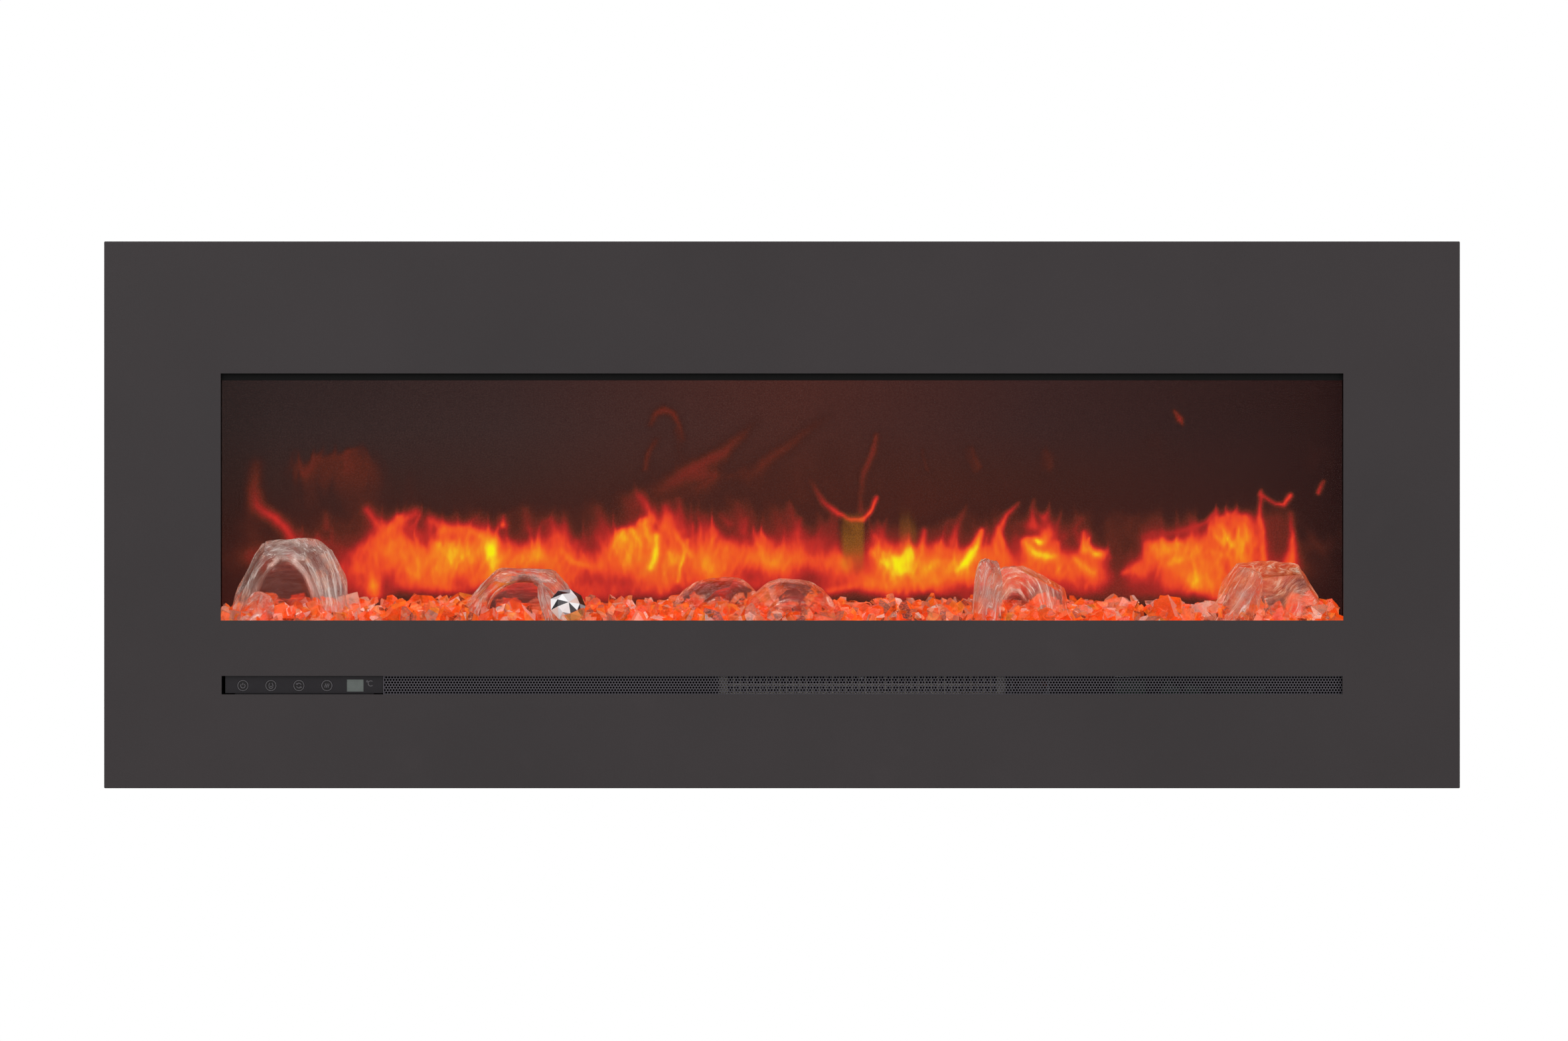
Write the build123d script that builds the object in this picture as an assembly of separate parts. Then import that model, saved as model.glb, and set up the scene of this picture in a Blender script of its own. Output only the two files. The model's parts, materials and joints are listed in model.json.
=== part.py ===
"""Wall-hung linear electric fireplace, modelled as it is assembled.

A steel surround hangs on the sides of a shallow sheet-metal casing. Behind the window are a clear
pane, a bed of clear crystals on a lit diffuser, and a flame screen lit from behind by a slowly
turning spindle of reflective vanes. Below the window a crossflow blower pushes air through a
heating element and out of a perforated strip, beside a small strip of keys and a display.

Row frame, millimetres: the origin is the centre of the wall bracket's back face, which lies on
the wall. +Y points into the wall, so the front faces -Y. +X is to the right as seen from the
front, and +Z is up.
"""
from build123d import *
from math import cos, radians, sin
import os

# ---------------------------------------------------------------- driving dimensions
# Front view
window_w = 1170.0  # opening in the surround
window_h = 257.5
border_side = 121.5  # surround beside, above and below the window
border_top = 137.6
border_bottom = 174.9
slot_w = 1168.0  # opening for the air outlet and the keys
slot_h = 19.3
slot_drop = 57.7  # window's lower edge to the slot's upper edge
casing_rise = 55.0  # casing top above the origin

# Depth
wall_gap = 10.0  # wall to casing back
casing_depth = 136.5
surround_gap = 2.5  # casing front to surround back
surround_t = 2.0
surround_return = 24.0  # depth of the surround's folded edge

# Casing
sheet = 1.2
lip = 12.0  # width of the folded lips and flanges
casing_beside_window = 24.5
casing_over_window = 26.0
casing_under_slot = 20.0
air_slot_len = 34.0
air_slot_w = 4.0
louvre_w = 26.0
louvre_h = 3.0
louvre_pitch = 9.0
louvre_rise = 30.0  # service cover's lower edge to its first louvre
reveal = 3.0  # casing front opening is this much larger than the surround's
shelf_drop = 26.5  # window's lower edge to the top of the dividing shelf

# Glass and its rails
glass_t = 4.0
rail_t = 1.0
rail_play = 0.3  # each side of the glass
rail_show = 7.0  # how far the black top rail hangs into view
rail_rise = 13.5  # top rail above the window's upper edge
rail_foot = 14.7  # bottom rail below the window's lower edge

# Flame chamber
chamber_depth = 64.0  # glass to flame screen
screen_t = 3.0
liner_t = 1.0
tray_t = 2.0
tray_drop = 9.5  # tray's top face below the window's lower edge
bed_front = 9.0  # crystal fill above the window's lower edge, front and back
bed_back = 27.0

# Flicker spindle
spindle_r = 2.0
vane_r = 20.0
vane_t = 0.5
vane_w = 30.0
vane_pitch = 36.0
spindle_behind_screen = 33.0
spindle_above_shelf = 33.0
flicker_motor_r = 24.5
flicker_motor_t = 20.0
flicker_motor_offset = 9.0
bush_r = 5.0
bush_len = 8.0
coupling_r = 5.0
mount_t = 1.5  # bearing bracket and motor plate
post_w = 22.0
motor_plate_w = 46.0
motor_foot = 14.0
motor_ears_w = 44.0

# Stencil: leaf-shaped openings between the spindle and the screen
stencil_gap = 6.0
stencil_t = 0.5
stencil_below_window = 90.0  # window's upper edge to the stencil's
leaf_margin = 50.0
leaf_pitch = 78.0
leaf_h = 96.0  # each leaf's height and half width go up and down about these
leaf_h_swing = 26.0
leaf_half_w = 21.0
leaf_w_swing = 5.0
leaf_lean = 14.0
leaf_belly = 5.0

# Large crystals: place as a share of the window's width, step behind the chamber's middle,
# width, depth, height, and the lean, turn and cut in degrees
boulder_rows = [
    (-0.440, 2, 120.0, 42.0, 99.0, 8, 12, 20),
    (-0.237, -3, 114.0, 40.0, 68.0, -6, 9, 26),
    (-0.055, 14, 92.0, 26.0, 57.0, 6, -5, 14),
    (0.007, -14, 92.0, 26.0, 57.0, -6, 5, 16),
    (0.215, 3, 100.0, 42.0, 77.0, 7, 10, 18),
    (0.431, -2, 112.0, 44.0, 77.0, -7, 8, 20),
]

# Heater
blower_len = 300.0
wheel_r = 22.0
wheel_vanes = 24
scroll_gap = 4.0
scroll_t = 1.0
wheel_back = 62.0  # blower axis in front of the wall
wheel_drop = 4.0  # blower axis below the slot's upper edge
blower_shaft_r = 2.5
wheel_pivot_r = 2.0
motor_rotor_r = 11.0
motor_air_gap = 0.4
stack_t = 24.0
duct_h = 26.0
element_d = 14.0

# Keys and display
fascia_w = 164.5
fascia_side_gap = 3.5
fascia_foot_gap = 1.2
fascia_t = 2.0
front_play = 2.5  # fascia and grille behind the surround's back face
key_r = 5.9
key_play = 0.25
key_travel = 0.8
key_first = 21.8  # first key's centre from the slot's left end
key_pitch = 29.2
key_drop = 10.2  # key centres below the slot's upper edge
key_stem_r = 1.7
key_switch_w = 6.0
display_w = 17.3
display_h = 12.6
display_at = 138.9
grille_t = 0.8
grille_slot_w = 20.0
grille_slot_h = 2.2
grille_rows = 4
grille_row_pitch = 4.6
strip_flange = 6.0  # grille and fascia reach this far above and below, behind the casing front

# Hanging gear
bracket_w = 900.0
bracket_t = 2.0
bracket_foot = 24.0  # bracket below and above the origin
bracket_head = 22.0
cleat_lip = 12.0
surround_lift = 12.0
wall_hole_r = 3.25
wall_hole_dx = 812.8
wall_hole_dz = 24.0
hook_w = 60.0
stud_r = 3.0
stud_play = 0.3
hanger_h = 220.0
stud_dz = 150.0

# Side fittings
gland_bore_r = 3.9
gland_body_r = 8.0
rocker_tilt = 10.0
lead_r = 1.6
lead_bend = 8.0
gland_hex_r = 11.0
gland_hex_t = 5.0
shelf_hole_behind_spindle = 16.0

# Driver board: boxes are start, width, y range and height, cans are start, radius, y and height
board_t = 1.6
power_board_w = 180.0
power_board_y = (-110.0, -40.0)
power_board_from_side = 270.0
power_board_rise = 8.0
post_r = 3.0
terminal_h = 14.0
plug_y = -90.0
plug_h = 8.0
plug_pitch = 13.0
first_plug_from_side = 148.0
power_board_boxes = [
    (12.0, 32.0, (-92.0, -62.0), 26.0),
    (60.0, 19.0, (-100.0, -85.0), 16.0),
    (84.0, 19.0, (-100.0, -85.0), 16.0),
]
power_board_cans = [
    (70.0, 6.5, -62.0, 22.0),
    (92.0, 5.0, -62.0, 18.0),
]

# Screws and clearances
screw_r = 1.75
screw_head_r = 3.6
screw_head_t = 1.6
cross_len = 4.0
cross_w = 0.9
cross_depth = 1.6
touch = 0.05  # running clearance between faces that pass each other

# ---------------------------------------------------------------- places worked out from them
casing_w = window_w + 2 * casing_beside_window
window_top = casing_rise - casing_over_window
window_bottom = window_top - window_h
slot_top = window_bottom - slot_drop
slot_bottom = slot_top - slot_h
casing_top = casing_rise
casing_bottom = slot_bottom - casing_under_slot
surround_top = window_top + border_top
surround_bottom = window_bottom - border_bottom
surround_w = window_w + 2 * border_side

casing_back = -wall_gap
casing_front = casing_back - casing_depth
frame_back = casing_front + sheet
surround_back = casing_front - surround_gap
surround_front = surround_back - surround_t
side_in = casing_w / 2 - sheet

glass_front = frame_back + rail_t + rail_play
glass_back = glass_front + glass_t
screen_front = glass_back + chamber_depth
screen_back = screen_front + screen_t
shelf_top = window_bottom - shelf_drop
tray_top = window_bottom - tray_drop

spindle_y = screen_back + spindle_behind_screen
spindle_z = shelf_top + spindle_above_shelf
wheel_y = -wheel_back
wheel_z = slot_top - wheel_drop
slot_left = -slot_w / 2
slot_right = slot_w / 2
fascia_left = slot_left + fascia_side_gap
fascia_right = fascia_left + fascia_w
face_front = surround_back + front_play
key_z = slot_top - key_drop
blower_left = (fascia_right + slot_right - blower_len) / 2
blower_right = blower_left + blower_len
chamber_half = window_w / 2 + 7.0

nodes = {}


# ---------------------------------------------------------------- helpers
def block(x, y, z):
    """A box between three (low, high) pairs."""
    middle = [(low + high) / 2 for low, high in (x, y, z)]
    return Pos(*middle) * Box(x[1] - x[0], y[1] - y[0], z[1] - z[0])


def around(middle, width):
    """The (low, high) pair of that width around a middle value."""
    return (middle - width / 2, middle + width / 2)


def mirrored(side, near, far):
    """The ordered pair from near to far on the side given as -1 or 1."""
    return tuple(sorted((side * near, side * far)))


def rod(radius, x, y, z):
    """A cylinder along whichever of x, y and z is a (low, high) pair."""
    if isinstance(x, tuple):
        return Pos(sum(x) / 2, y, z) * Rot(0, 90, 0) * Cylinder(radius, x[1] - x[0])
    if isinstance(y, tuple):
        return Pos(x, sum(y) / 2, z) * Rot(90, 0, 0) * Cylinder(radius, y[1] - y[0])
    return Pos(x, y, sum(z) / 2) * Cylinder(radius, z[1] - z[0])


def cone_y(r_low, r_high, x, y, z):
    """A cone along Y whose radius goes from r_low at y[0] to r_high at y[1]."""
    return Pos(x, sum(y) / 2, z) * Rot(-90, 0, 0) * Cone(r_low, r_high, y[1] - y[0])


def cone_x(r_low, r_high, x, y, z):
    """A cone along X whose radius goes from r_low at x[0] to r_high at x[1]."""
    return Pos(sum(x) / 2, y, z) * Rot(0, 90, 0) * Cone(r_low, r_high, x[1] - x[0])


def spread(low, high, pitch):
    """Evenly spaced places between low and high, no further apart than pitch."""
    steps = max(1, int((high - low) / pitch + 0.999))
    return [low + (high - low) * i / steps for i in range(steps + 1)]


def add(name, *solids):
    """Keeps one node, made of one or more separate solids."""
    nodes[name] = solids[0] if len(solids) == 1 else Compound(children=list(solids))


def pan_screw_y(x, y, z, length, to_front=False):
    """A pan-head screw along Y, its head seated on the plane y and its shank going into the sheet."""
    way = 1 if to_front else -1
    head_y = y - way * screw_head_t
    head = rod(screw_head_r, x, tuple(sorted((y, head_y))), z)
    shank = rod(screw_r, x, tuple(sorted((y, y + way * length))), z)
    recess = block(around(x, cross_len), around(head_y, cross_depth), around(z, cross_w))
    cross = block(around(x, cross_w), around(head_y, cross_depth), around(z, cross_len))
    return head + shank - recess - cross


def holes_y(places, y, radius=screw_r):
    """Drills along Y at each (x, z)."""
    return [rod(radius, x, y, z) for x, z in places]


# ---------------------------------------------------------------- hanging gear
def wall_bracket():
    """Cleat rail: a plate on the wall with a shelf and an upturned lip."""
    half = bracket_w / 2
    out = bracket_t * 4
    plate = block((-half, half), (-bracket_t, 0), (-bracket_foot, bracket_head))
    ledge = block((-half, half), (-out, 0), (bracket_head - bracket_t, bracket_head))
    lip_y = (-out, -out + bracket_t)
    upstand = block((-half, half), lip_y, (bracket_head - bracket_t, bracket_head + cleat_lip))
    places = [(i * wall_hole_dx / 2, j * wall_hole_dz / 2) for i in (-1, 1) for j in (-1, 1)]
    add("wall_bracket", plate + ledge + upstand - holes_y(places, (-bracket_t - 1, 1), wall_hole_r))


def casing_hooks():
    """Two hooks on the casing's back that drop over the bracket's lip."""
    lip_top = bracket_head + cleat_lip
    lip_back = -bracket_t * 3
    tongue_y = (lip_back + 1.5, lip_back + 3.5)
    hooks = []
    for side in (-1, 1):
        x = around(side * bracket_w / 3, hook_w)
        bridge = block(x, (casing_back, tongue_y[1]), (lip_top + touch, lip_top + bracket_t))
        tongue = block(x, tongue_y, (bracket_head + 2.0, lip_top + bracket_t))
        flange = block(x, (casing_back, casing_back + sheet), (lip_top + touch, casing_top - 4.0))
        hooks.append(bridge + tongue + flange)
    add("casing_hooks", *hooks)


def wall_bumpers():
    """Rubber spacers that keep the casing's foot off the wall."""
    z = casing_bottom + 26.0
    bumpers = []
    for side in (-1, 1):
        x = side * (casing_w / 2 - 20.0)
        body = cone_y(13.0, 11.0, x, (casing_back, 0), z)
        bumpers.append(body - rod(5.0, x, (-4.0, 0.5), z))
    add("wall_bumpers", *bumpers)


# ---------------------------------------------------------------- casing
def cover_box():
    """The rear service cover's x and z ranges."""
    return (side_in - 330.0, side_in - 40.0), (casing_bottom + 14.0, shelf_top - 4.0)


def back_screw_places():
    """Screws through the casing's back into the side panels' flanges."""
    xs = (-side_in + lip / 2, side_in - lip / 2)
    zs = (casing_bottom + 60.0, (casing_top + casing_bottom) / 2, casing_top - 60.0)
    return [(x, z) for x in xs for z in zs]


def cover_screw_places():
    """Screws round the rear service cover."""
    (x0, x1), (z0, z1) = cover_box()
    inset = 5.0
    return [(x, z) for x in spread(x0 + inset, x1 - inset, 160.0) for z in (z0 + inset, z1 - inset)]


def lipped_panel(z_outer, inward):
    """A level sheet across the casing, and the two bars welded inside its front and back edges."""
    z = tuple(sorted((z_outer, z_outer + inward * sheet)))
    bar_z = tuple(sorted((z_outer + inward * sheet, z_outer + inward * lip)))
    panel = block((-side_in, side_in), (frame_back, casing_back), z)
    bar_x = around(0, 2 * (side_in - lip - 1.0))
    front_bar = block(bar_x, (frame_back, frame_back + sheet), bar_z)
    back_bar = block(bar_x, (casing_back - 2 * sheet, casing_back - sheet), bar_z)
    return panel, front_bar, back_bar


def top_panel():
    """Casing top, with a row of slots that let the lamps' warmth out."""
    panel, front_bar, back_bar = lipped_panel(casing_top, -1)
    slots = []
    for at in spread(-side_in + 90.0, side_in - 90.0, 48.0):
        slots.append(block(around(at, air_slot_len), around(-30.0, air_slot_w), around(casing_top, 4.0)))
    add("top_panel", panel - slots, front_bar, back_bar)


def bottom_panel():
    """Casing bottom, with two rows of slots under the blower."""
    panel, front_bar, back_bar = lipped_panel(casing_bottom, 1)
    slots = []
    for row in range(2):
        y = around(wheel_y + 24.0 - row * 44.0, air_slot_len)
        for at in spread(blower_left, blower_right, 12.0):
            slots.append(block(around(at, air_slot_w), y, around(casing_bottom + sheet / 2, 3.0)))
    add("bottom_panel", panel - slots, front_bar, back_bar)


def back_panel():
    """Casing back between the top and bottom, with a hatch for the service cover."""
    y = (casing_back - sheet, casing_back)
    panel = block((-side_in, side_in), y, (casing_bottom + sheet, casing_top - sheet))
    through = (y[0] - 1, y[1] + 1)
    (cx0, cx1), (cz0, cz1) = cover_box()
    rim = 10.0
    hatch = block((cx0 + rim, cx1 - rim), through, (cz0 + rim, cz1 - rim))
    screws = holes_y(back_screw_places(), through) + holes_y(cover_screw_places(), through)
    add("back_panel", panel - hatch - screws)


def side_panel(name, side):
    """A side sheet with flanges front and back. The right one carries the switch and the gland."""
    face_x = mirrored(side, side_in, casing_w / 2)
    flange_x = mirrored(side, side_in - lip, side_in)
    panel = block(face_x, (frame_back, casing_back), (casing_bottom, casing_top))
    front_z = (casing_bottom + lip, casing_top - lip)
    panel += block(flange_x, (frame_back, frame_back + sheet), front_z)
    back_z = (casing_bottom + sheet, casing_top - sheet)
    back_y = (casing_back - 2 * sheet, casing_back - sheet)
    panel += block(flange_x, back_y, back_z)
    through = (face_x[0] - 1, face_x[1] + 1)
    cuts = [rod(stud_r, through, stud_y(), z) for z in stud_heights()]
    cuts += [rod(screw_r, x, back_y, z) for x, z in back_screw_places() if x * side > 0]
    cuts += [rod(3.0, through, casing_back - 30.0, z) for z in flush_heights()]
    for at in spread(-100.0, -50.0, 10.0):
        cuts.append(block(through, around(at, 4.0), around(casing_top - 62.0, 40.0)))
    if side > 0:
        cuts.append(rod(gland_body_r + touch, through, gland_y(), gland_z()))
        cuts.append(block(through, around(rocker_y(), 13.0), around(gland_z(), 19.0)))
    add(name, panel - cuts)


def flush_heights():
    """Heights of the side holes that take screws when the casing is let into a wall."""
    return casing_top - 110.0, casing_bottom + 110.0


def front_frame():
    """Flat casing front with openings for the window and the slot."""
    sheet_y = (casing_front, frame_back)
    plate = block((-casing_w / 2, casing_w / 2), sheet_y, (casing_bottom, casing_top))
    through = (casing_front - 1, frame_back + 1)
    view = block(around(0, window_w + 2 * reveal), through, (window_bottom - reveal, window_top + reveal))
    strip = block(around(0, slot_w + 2 * reveal), through, (slot_bottom - reveal, slot_top + reveal))
    add("front_frame", plate - [view, strip] - holes_y(frame_screw_places(), through))


def frame_screw_places():
    """Screws through the casing front into the lips behind it."""
    xs = spread(-side_in + 60.0, side_in - 60.0, 400.0)
    inset = lip / 2
    return [(x, z) for x in xs for z in (casing_bottom + inset, casing_top - inset)]


def frame_screws():
    """Low-headed screws that fit in the gap behind the surround."""
    made = []
    for x, z in frame_screw_places():
        head = rod(screw_head_r, x, (casing_front - screw_head_t, casing_front), z)
        head += rod(screw_r, x, (casing_front, frame_back), z)
        slot_y = around(casing_front - screw_head_t, 1.4)
        made.append(head - block(around(x, 4.0), slot_y, around(z, 0.9)))
    return made


def casing_screws():
    """Screws round the casing's front, down its back edges and round the service cover."""
    length = 2 * sheet + 2.0
    head_plane = casing_back + sheet
    made = [pan_screw_y(x, casing_back, z, length) for x, z in back_screw_places()]
    made += [pan_screw_y(x, head_plane, z, 2 * sheet) for x, z in cover_screw_places()]
    add("casing_screws", *made, *frame_screws())


def service_cover():
    """Louvred cover over the wiring at the back, its louvres above the line of the outlet."""
    (x0, x1), (z0, z1) = cover_box()
    plate = block((x0, x1), (casing_back, casing_back + sheet), (z0, z1))
    through = (casing_back - 1, casing_back + sheet + 1)
    cuts = holes_y(cover_screw_places(), through)
    for row in range(2):
        z = around(z0 + louvre_rise + row * louvre_pitch, louvre_h)
        for at in spread(x0 + 45.0, x1 - 45.0, 40.0):
            cuts.append(block(around(at, louvre_w), through, z))
    add("service_cover", plate - cuts)


def divider_shelf():
    """Folded shelf between the flame chamber and the heater compartment."""
    x = (-side_in, side_in)
    y = (frame_back + sheet, casing_back - sheet)
    shelf = block((x[0] + lip + 1, x[1] - lip - 1), y, (shelf_top - sheet, shelf_top))
    flange_z = (shelf_top - lip, shelf_top)
    shelf += block((x[0] + lip + 1, x[1] - lip - 1), (y[1] - sheet, y[1]), flange_z)
    slot_y = around(spindle_y + shelf_hole_behind_spindle, 8.0)
    slots = []
    for at in (-harness_plugs()[0], harness_plugs()[0]):
        slots.append(block(around(at, 30.0), slot_y, around(shelf_top, 5.0)))
    add("divider_shelf", shelf - slots)


# ---------------------------------------------------------------- surround and its hangers
def stud_y():
    """The hanging studs' place behind the surround."""
    return surround_back + 21.0


def stud_heights():
    """Two studs a side, level with the middle of the casing."""
    middle = (casing_top + casing_bottom) / 2
    return middle - stud_dz / 2, middle + stud_dz / 2


def front_surround():
    """Steel panel with folded edges, a window and a slot."""
    x = around(0, surround_w)
    z = (surround_bottom, surround_top)
    body = block(x, (surround_front, surround_front + surround_return), z)
    edges = body.edges().filter_by(GeomType.LINE)
    front = edges.group_by(Axis.Y)[0]
    upright = edges.filter_by(Axis.Y)
    body = fillet(front + upright, surround_t * 0.6)
    t = surround_t
    hollow = block(
        (x[0] + t, x[1] - t),
        (surround_back, surround_front + surround_return + 1),
        (z[0] + t, z[1] - t),
    )
    through = (surround_front - 1, surround_back + 1)
    view = block(around(0, window_w), through, (window_bottom, window_top))
    strip = block(around(0, slot_w), through, (slot_bottom, slot_top))
    add("front_surround", body - [hollow, view, strip])


def surround_hanger(side):
    """An angle welded behind the surround, with two slots that drop over the casing's studs."""
    web_in = casing_w / 2 + 2.0
    web_x = mirrored(side, web_in, web_in + 1.5)
    flange_x = mirrored(side, web_in, web_in + 18.0)
    z = around(sum(stud_heights()) / 2, hanger_h)
    depth = 31.0
    angle = block(web_x, (surround_back, surround_back + depth), z)
    angle += block(flange_x, (surround_back, surround_back + 1.5), z)
    slots = []
    width = 2 * (stud_r + stud_play)
    through = (web_x[0] - 1, web_x[1] + 1)
    for seat in stud_heights():
        low = seat - surround_lift
        slots.append(rod(width / 2, through, stud_y(), seat))
        slots.append(block(through, around(stud_y(), width), (low, seat)))
        slots.append(rod(width / 2, through, stud_y(), low))
        slots.append(block(through, (stud_y(), surround_back + depth + 1), around(low, width)))
    return angle - slots


def hanger_studs():
    """Shouldered studs in the casing's sides."""
    studs = []
    outside = casing_w / 2
    for side in (-1, 1):
        for z in stud_heights():
            shank = rod(stud_r, mirrored(side, side_in - 4.0, outside + 6.0), stud_y(), z)
            head = rod(stud_r + 2.2, mirrored(side, outside + 4.5, outside + 6.5), stud_y(), z)
            nut = rod(stud_r + 2.5, mirrored(side, side_in - 3.0, side_in), stud_y(), z)
            studs.append(shank + head + nut)
    add("hanger_studs", *studs)


# ---------------------------------------------------------------- glass
def glass_clip_heights():
    """The clips' places up each end of the pane."""
    return window_bottom + 50.0, window_top - 50.0


def glass_set():
    """Clear pane in a deep top rail and a bottom rail, sealed and clipped at its ends."""
    half = chamber_half
    pane_z = (window_bottom - rail_foot + rail_t + 0.2, window_top + rail_rise - rail_t - 1.5)
    add("glass_pane", block((-half, half), (glass_front, glass_back), pane_z))
    rail_y = (frame_back, glass_back + rail_play + rail_t)
    gap_y = (frame_back + rail_t, glass_back + rail_play)
    top_z = (window_top - rail_show, window_top + rail_rise)
    bottom_z = (window_bottom - rail_foot, window_bottom - 1.5)
    top = block((-half, half), rail_y, top_z)
    top -= block((-half - 1, half + 1), gap_y, (top_z[0] - 1, top_z[1] - rail_t))
    add("glass_rail_top", top)
    bottom = block((-half, half), rail_y, bottom_z)
    bottom -= block((-half - 1, half + 1), gap_y, (bottom_z[0] + rail_t, bottom_z[1] + 1))
    add("glass_rail_bottom", bottom)
    seals = []
    clips = []
    for side in (-1, 1):
        seal_x = mirrored(side, half - 3.5, half)
        seals.append(block(seal_x, (frame_back, glass_front), (bottom_z[1] + 0.5, top_z[0] - 0.5)))
        for z in glass_clip_heights():
            foot_x = mirrored(side, half + 0.3, half + 3.5)
            arm_x = mirrored(side, half - 2.0, half + 3.5)
            clip = block(foot_x, (frame_back, glass_back + rail_play + rail_t), around(z, 16.0))
            clip += block(arm_x, (glass_back + touch, glass_back + rail_play + rail_t), around(z, 16.0))
            clips.append(clip)
    add("glass_seals", *seals)
    add("glass_clips", *clips)


# ---------------------------------------------------------------- flame chamber
def chamber_liner():
    """Black liner: a ceiling and two cheeks between the glass and the screen."""
    y = (glass_back + rail_play + rail_t, screen_front)
    x_out = chamber_half
    ceiling_z = window_top + 4.0
    outer = block((-x_out, x_out), y, (tray_top + 1.0, ceiling_z + liner_t))
    inner = block((-x_out + liner_t, x_out - liner_t), (y[0] - 1, y[1] + 1), (tray_top, ceiling_z))
    clip_room = [
        block(around(side * x_out, 5.0), (y[0] - 1, y[0] + 0.3), around(z, 18.0))
        for side in (-1, 1)
        for z in glass_clip_heights()
    ]
    add("chamber_liner", outer - inner - clip_room)


def flame_screen():
    """Frosted screen that shows the flames, held in a channel at each end."""
    half = chamber_half + 4.0
    z = (shelf_top, window_top + 14.0)
    add("flame_screen", block((-half, half), (screen_front, screen_back), z))
    holders = []
    for side in (-1, 1):
        x = mirrored(side, half - 2.0, side_in)
        slot_x = mirrored(side, half - 3.0, half)
        outer = block(x, (screen_front - 1.5, screen_back + 1.5), (shelf_top, z[1]))
        mouth = block(slot_x, (screen_front, screen_back), (shelf_top - 1, z[1] + 1))
        holders.append(outer - mouth)
    add("screen_brackets", *holders)


def bed_y():
    """Front and back of the tray and of the crystal bed, between the glass rails and the screen."""
    return glass_back + rail_play + rail_t + 0.5, screen_front - 0.5


def ember_tray():
    """Lit diffuser under the crystals, standing on the shelf on two legs."""
    x = (-chamber_half + 1.5, chamber_half - 1.5)
    y = bed_y()
    plate = block(x, y, (tray_top - tray_t, tray_top))
    for leg in ((y[0], y[0] + tray_t), (y[1] - tray_t, y[1])):
        plate += block(x, leg, (shelf_top, tray_top))
    add("ember_tray", plate)


def led_board(name, x, y, z, width, pitch):
    """A strip of circuit board with square lamps along it, facing up."""
    board_top = z + board_t
    board = block(x, around(y, width), (z, board_top))
    lamps = []
    for at in spread(x[0] + 15.0, x[1] - 15.0, pitch):
        lamps.append(block(around(at, 5.0), around(y, 5.0), (board_top, board_top + 1.4)))
    add(name, board, *lamps)


def boulder_plan():
    """Each large crystal: share of the window's width, y, width, depth, height, lean, turn, cut."""
    middle = (glass_back + screen_front) / 2
    return [(share, middle + step, *sizes) for share, step, *sizes in boulder_rows]


def boulder(share, y, width, depth, height, lean, turn, cut):
    """A faceted chunk: three boxes at different tilts, cut to what they share."""
    tall = Box(width, depth, height)
    skew = Rot(lean, 0, turn) * Box(width * 0.98, depth * 1.25, height * 1.1)
    cant = Rot(0, cut, -turn) * Box(width * 1.02, depth * 1.3, height * 1.15)
    counter = Rot(0, -cut * 1.4, turn) * Box(width * 1.12, depth * 1.3, height * 1.12)
    chunk = tall & skew & cant & counter
    low = chunk.bounding_box().min.Z
    return Pos(share * window_w, y, tray_top - low) * chunk


def crystals():
    """Six large crystals standing in a bed of small ones, the bed as one plain solid."""
    chunks = [boulder(*row) for row in boulder_plan()]
    add("crystal_boulders", *chunks)
    y0, y1 = bed_y()
    profile = [
        (y0, tray_top),
        (y1, tray_top),
        (y1, window_bottom + bed_back),
        (y0, window_bottom + bed_front),
    ]
    points = [Vector(0, y, z) for y, z in profile]
    half = chamber_half - liner_t - 1.0
    fill = extrude(make_face(Polyline(*points, close=True)), half, dir=(1, 0, 0), both=True)
    rest = (fill - chunks).solids()
    kept = [s for s in rest if s.volume > 50.0]
    add("crystal_media", *kept)


# ---------------------------------------------------------------- flicker gear
def spindle_ends():
    """Where the spindle starts and stops, and the plane of its motor plate."""
    plate_x = side_in - 48.0
    return -side_in + 26.0, plate_x - 14.0, plate_x


def flame_stencil():
    """Bright plate with leaf-shaped cut-outs that break the light into tongues."""
    y = (screen_back + stencil_gap, screen_back + stencil_gap + stencil_t)
    half = chamber_half - 12.0
    foot_z = shelf_top + 14.0
    plate = block((-half, half), y, (shelf_top, window_top - stencil_below_window))
    plate += block((-half, half), (y[0], y[1] + 3.0), (shelf_top, shelf_top + stencil_t))
    cuts = []
    for i, at in enumerate(spread(-half + leaf_margin, half - leaf_margin, leaf_pitch)):
        height = leaf_h + leaf_h_swing * sin(i * 2.4)
        wide = leaf_half_w + leaf_w_swing * cos(i * 1.7)
        foot = Vector(at - wide, 0, foot_z)
        side = Vector(at + wide, 0, foot_z)
        tip = Vector(at + leaf_lean * sin(i * 1.3), 0, foot_z + height)
        left = ThreePointArc(foot, (foot + tip) / 2 + Vector(-leaf_belly, 0, 3.0), tip)
        right = ThreePointArc(tip, (side + tip) / 2 + Vector(leaf_belly, 0, 3.0), side)
        leaf = make_face([left, right, Line(side, foot)])
        cuts.append(Pos(0, y[0] - 2, 0) * extrude(leaf, 5.0, dir=(0, 1, 0)))
    add("flame_stencil", plate - cuts)


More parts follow.
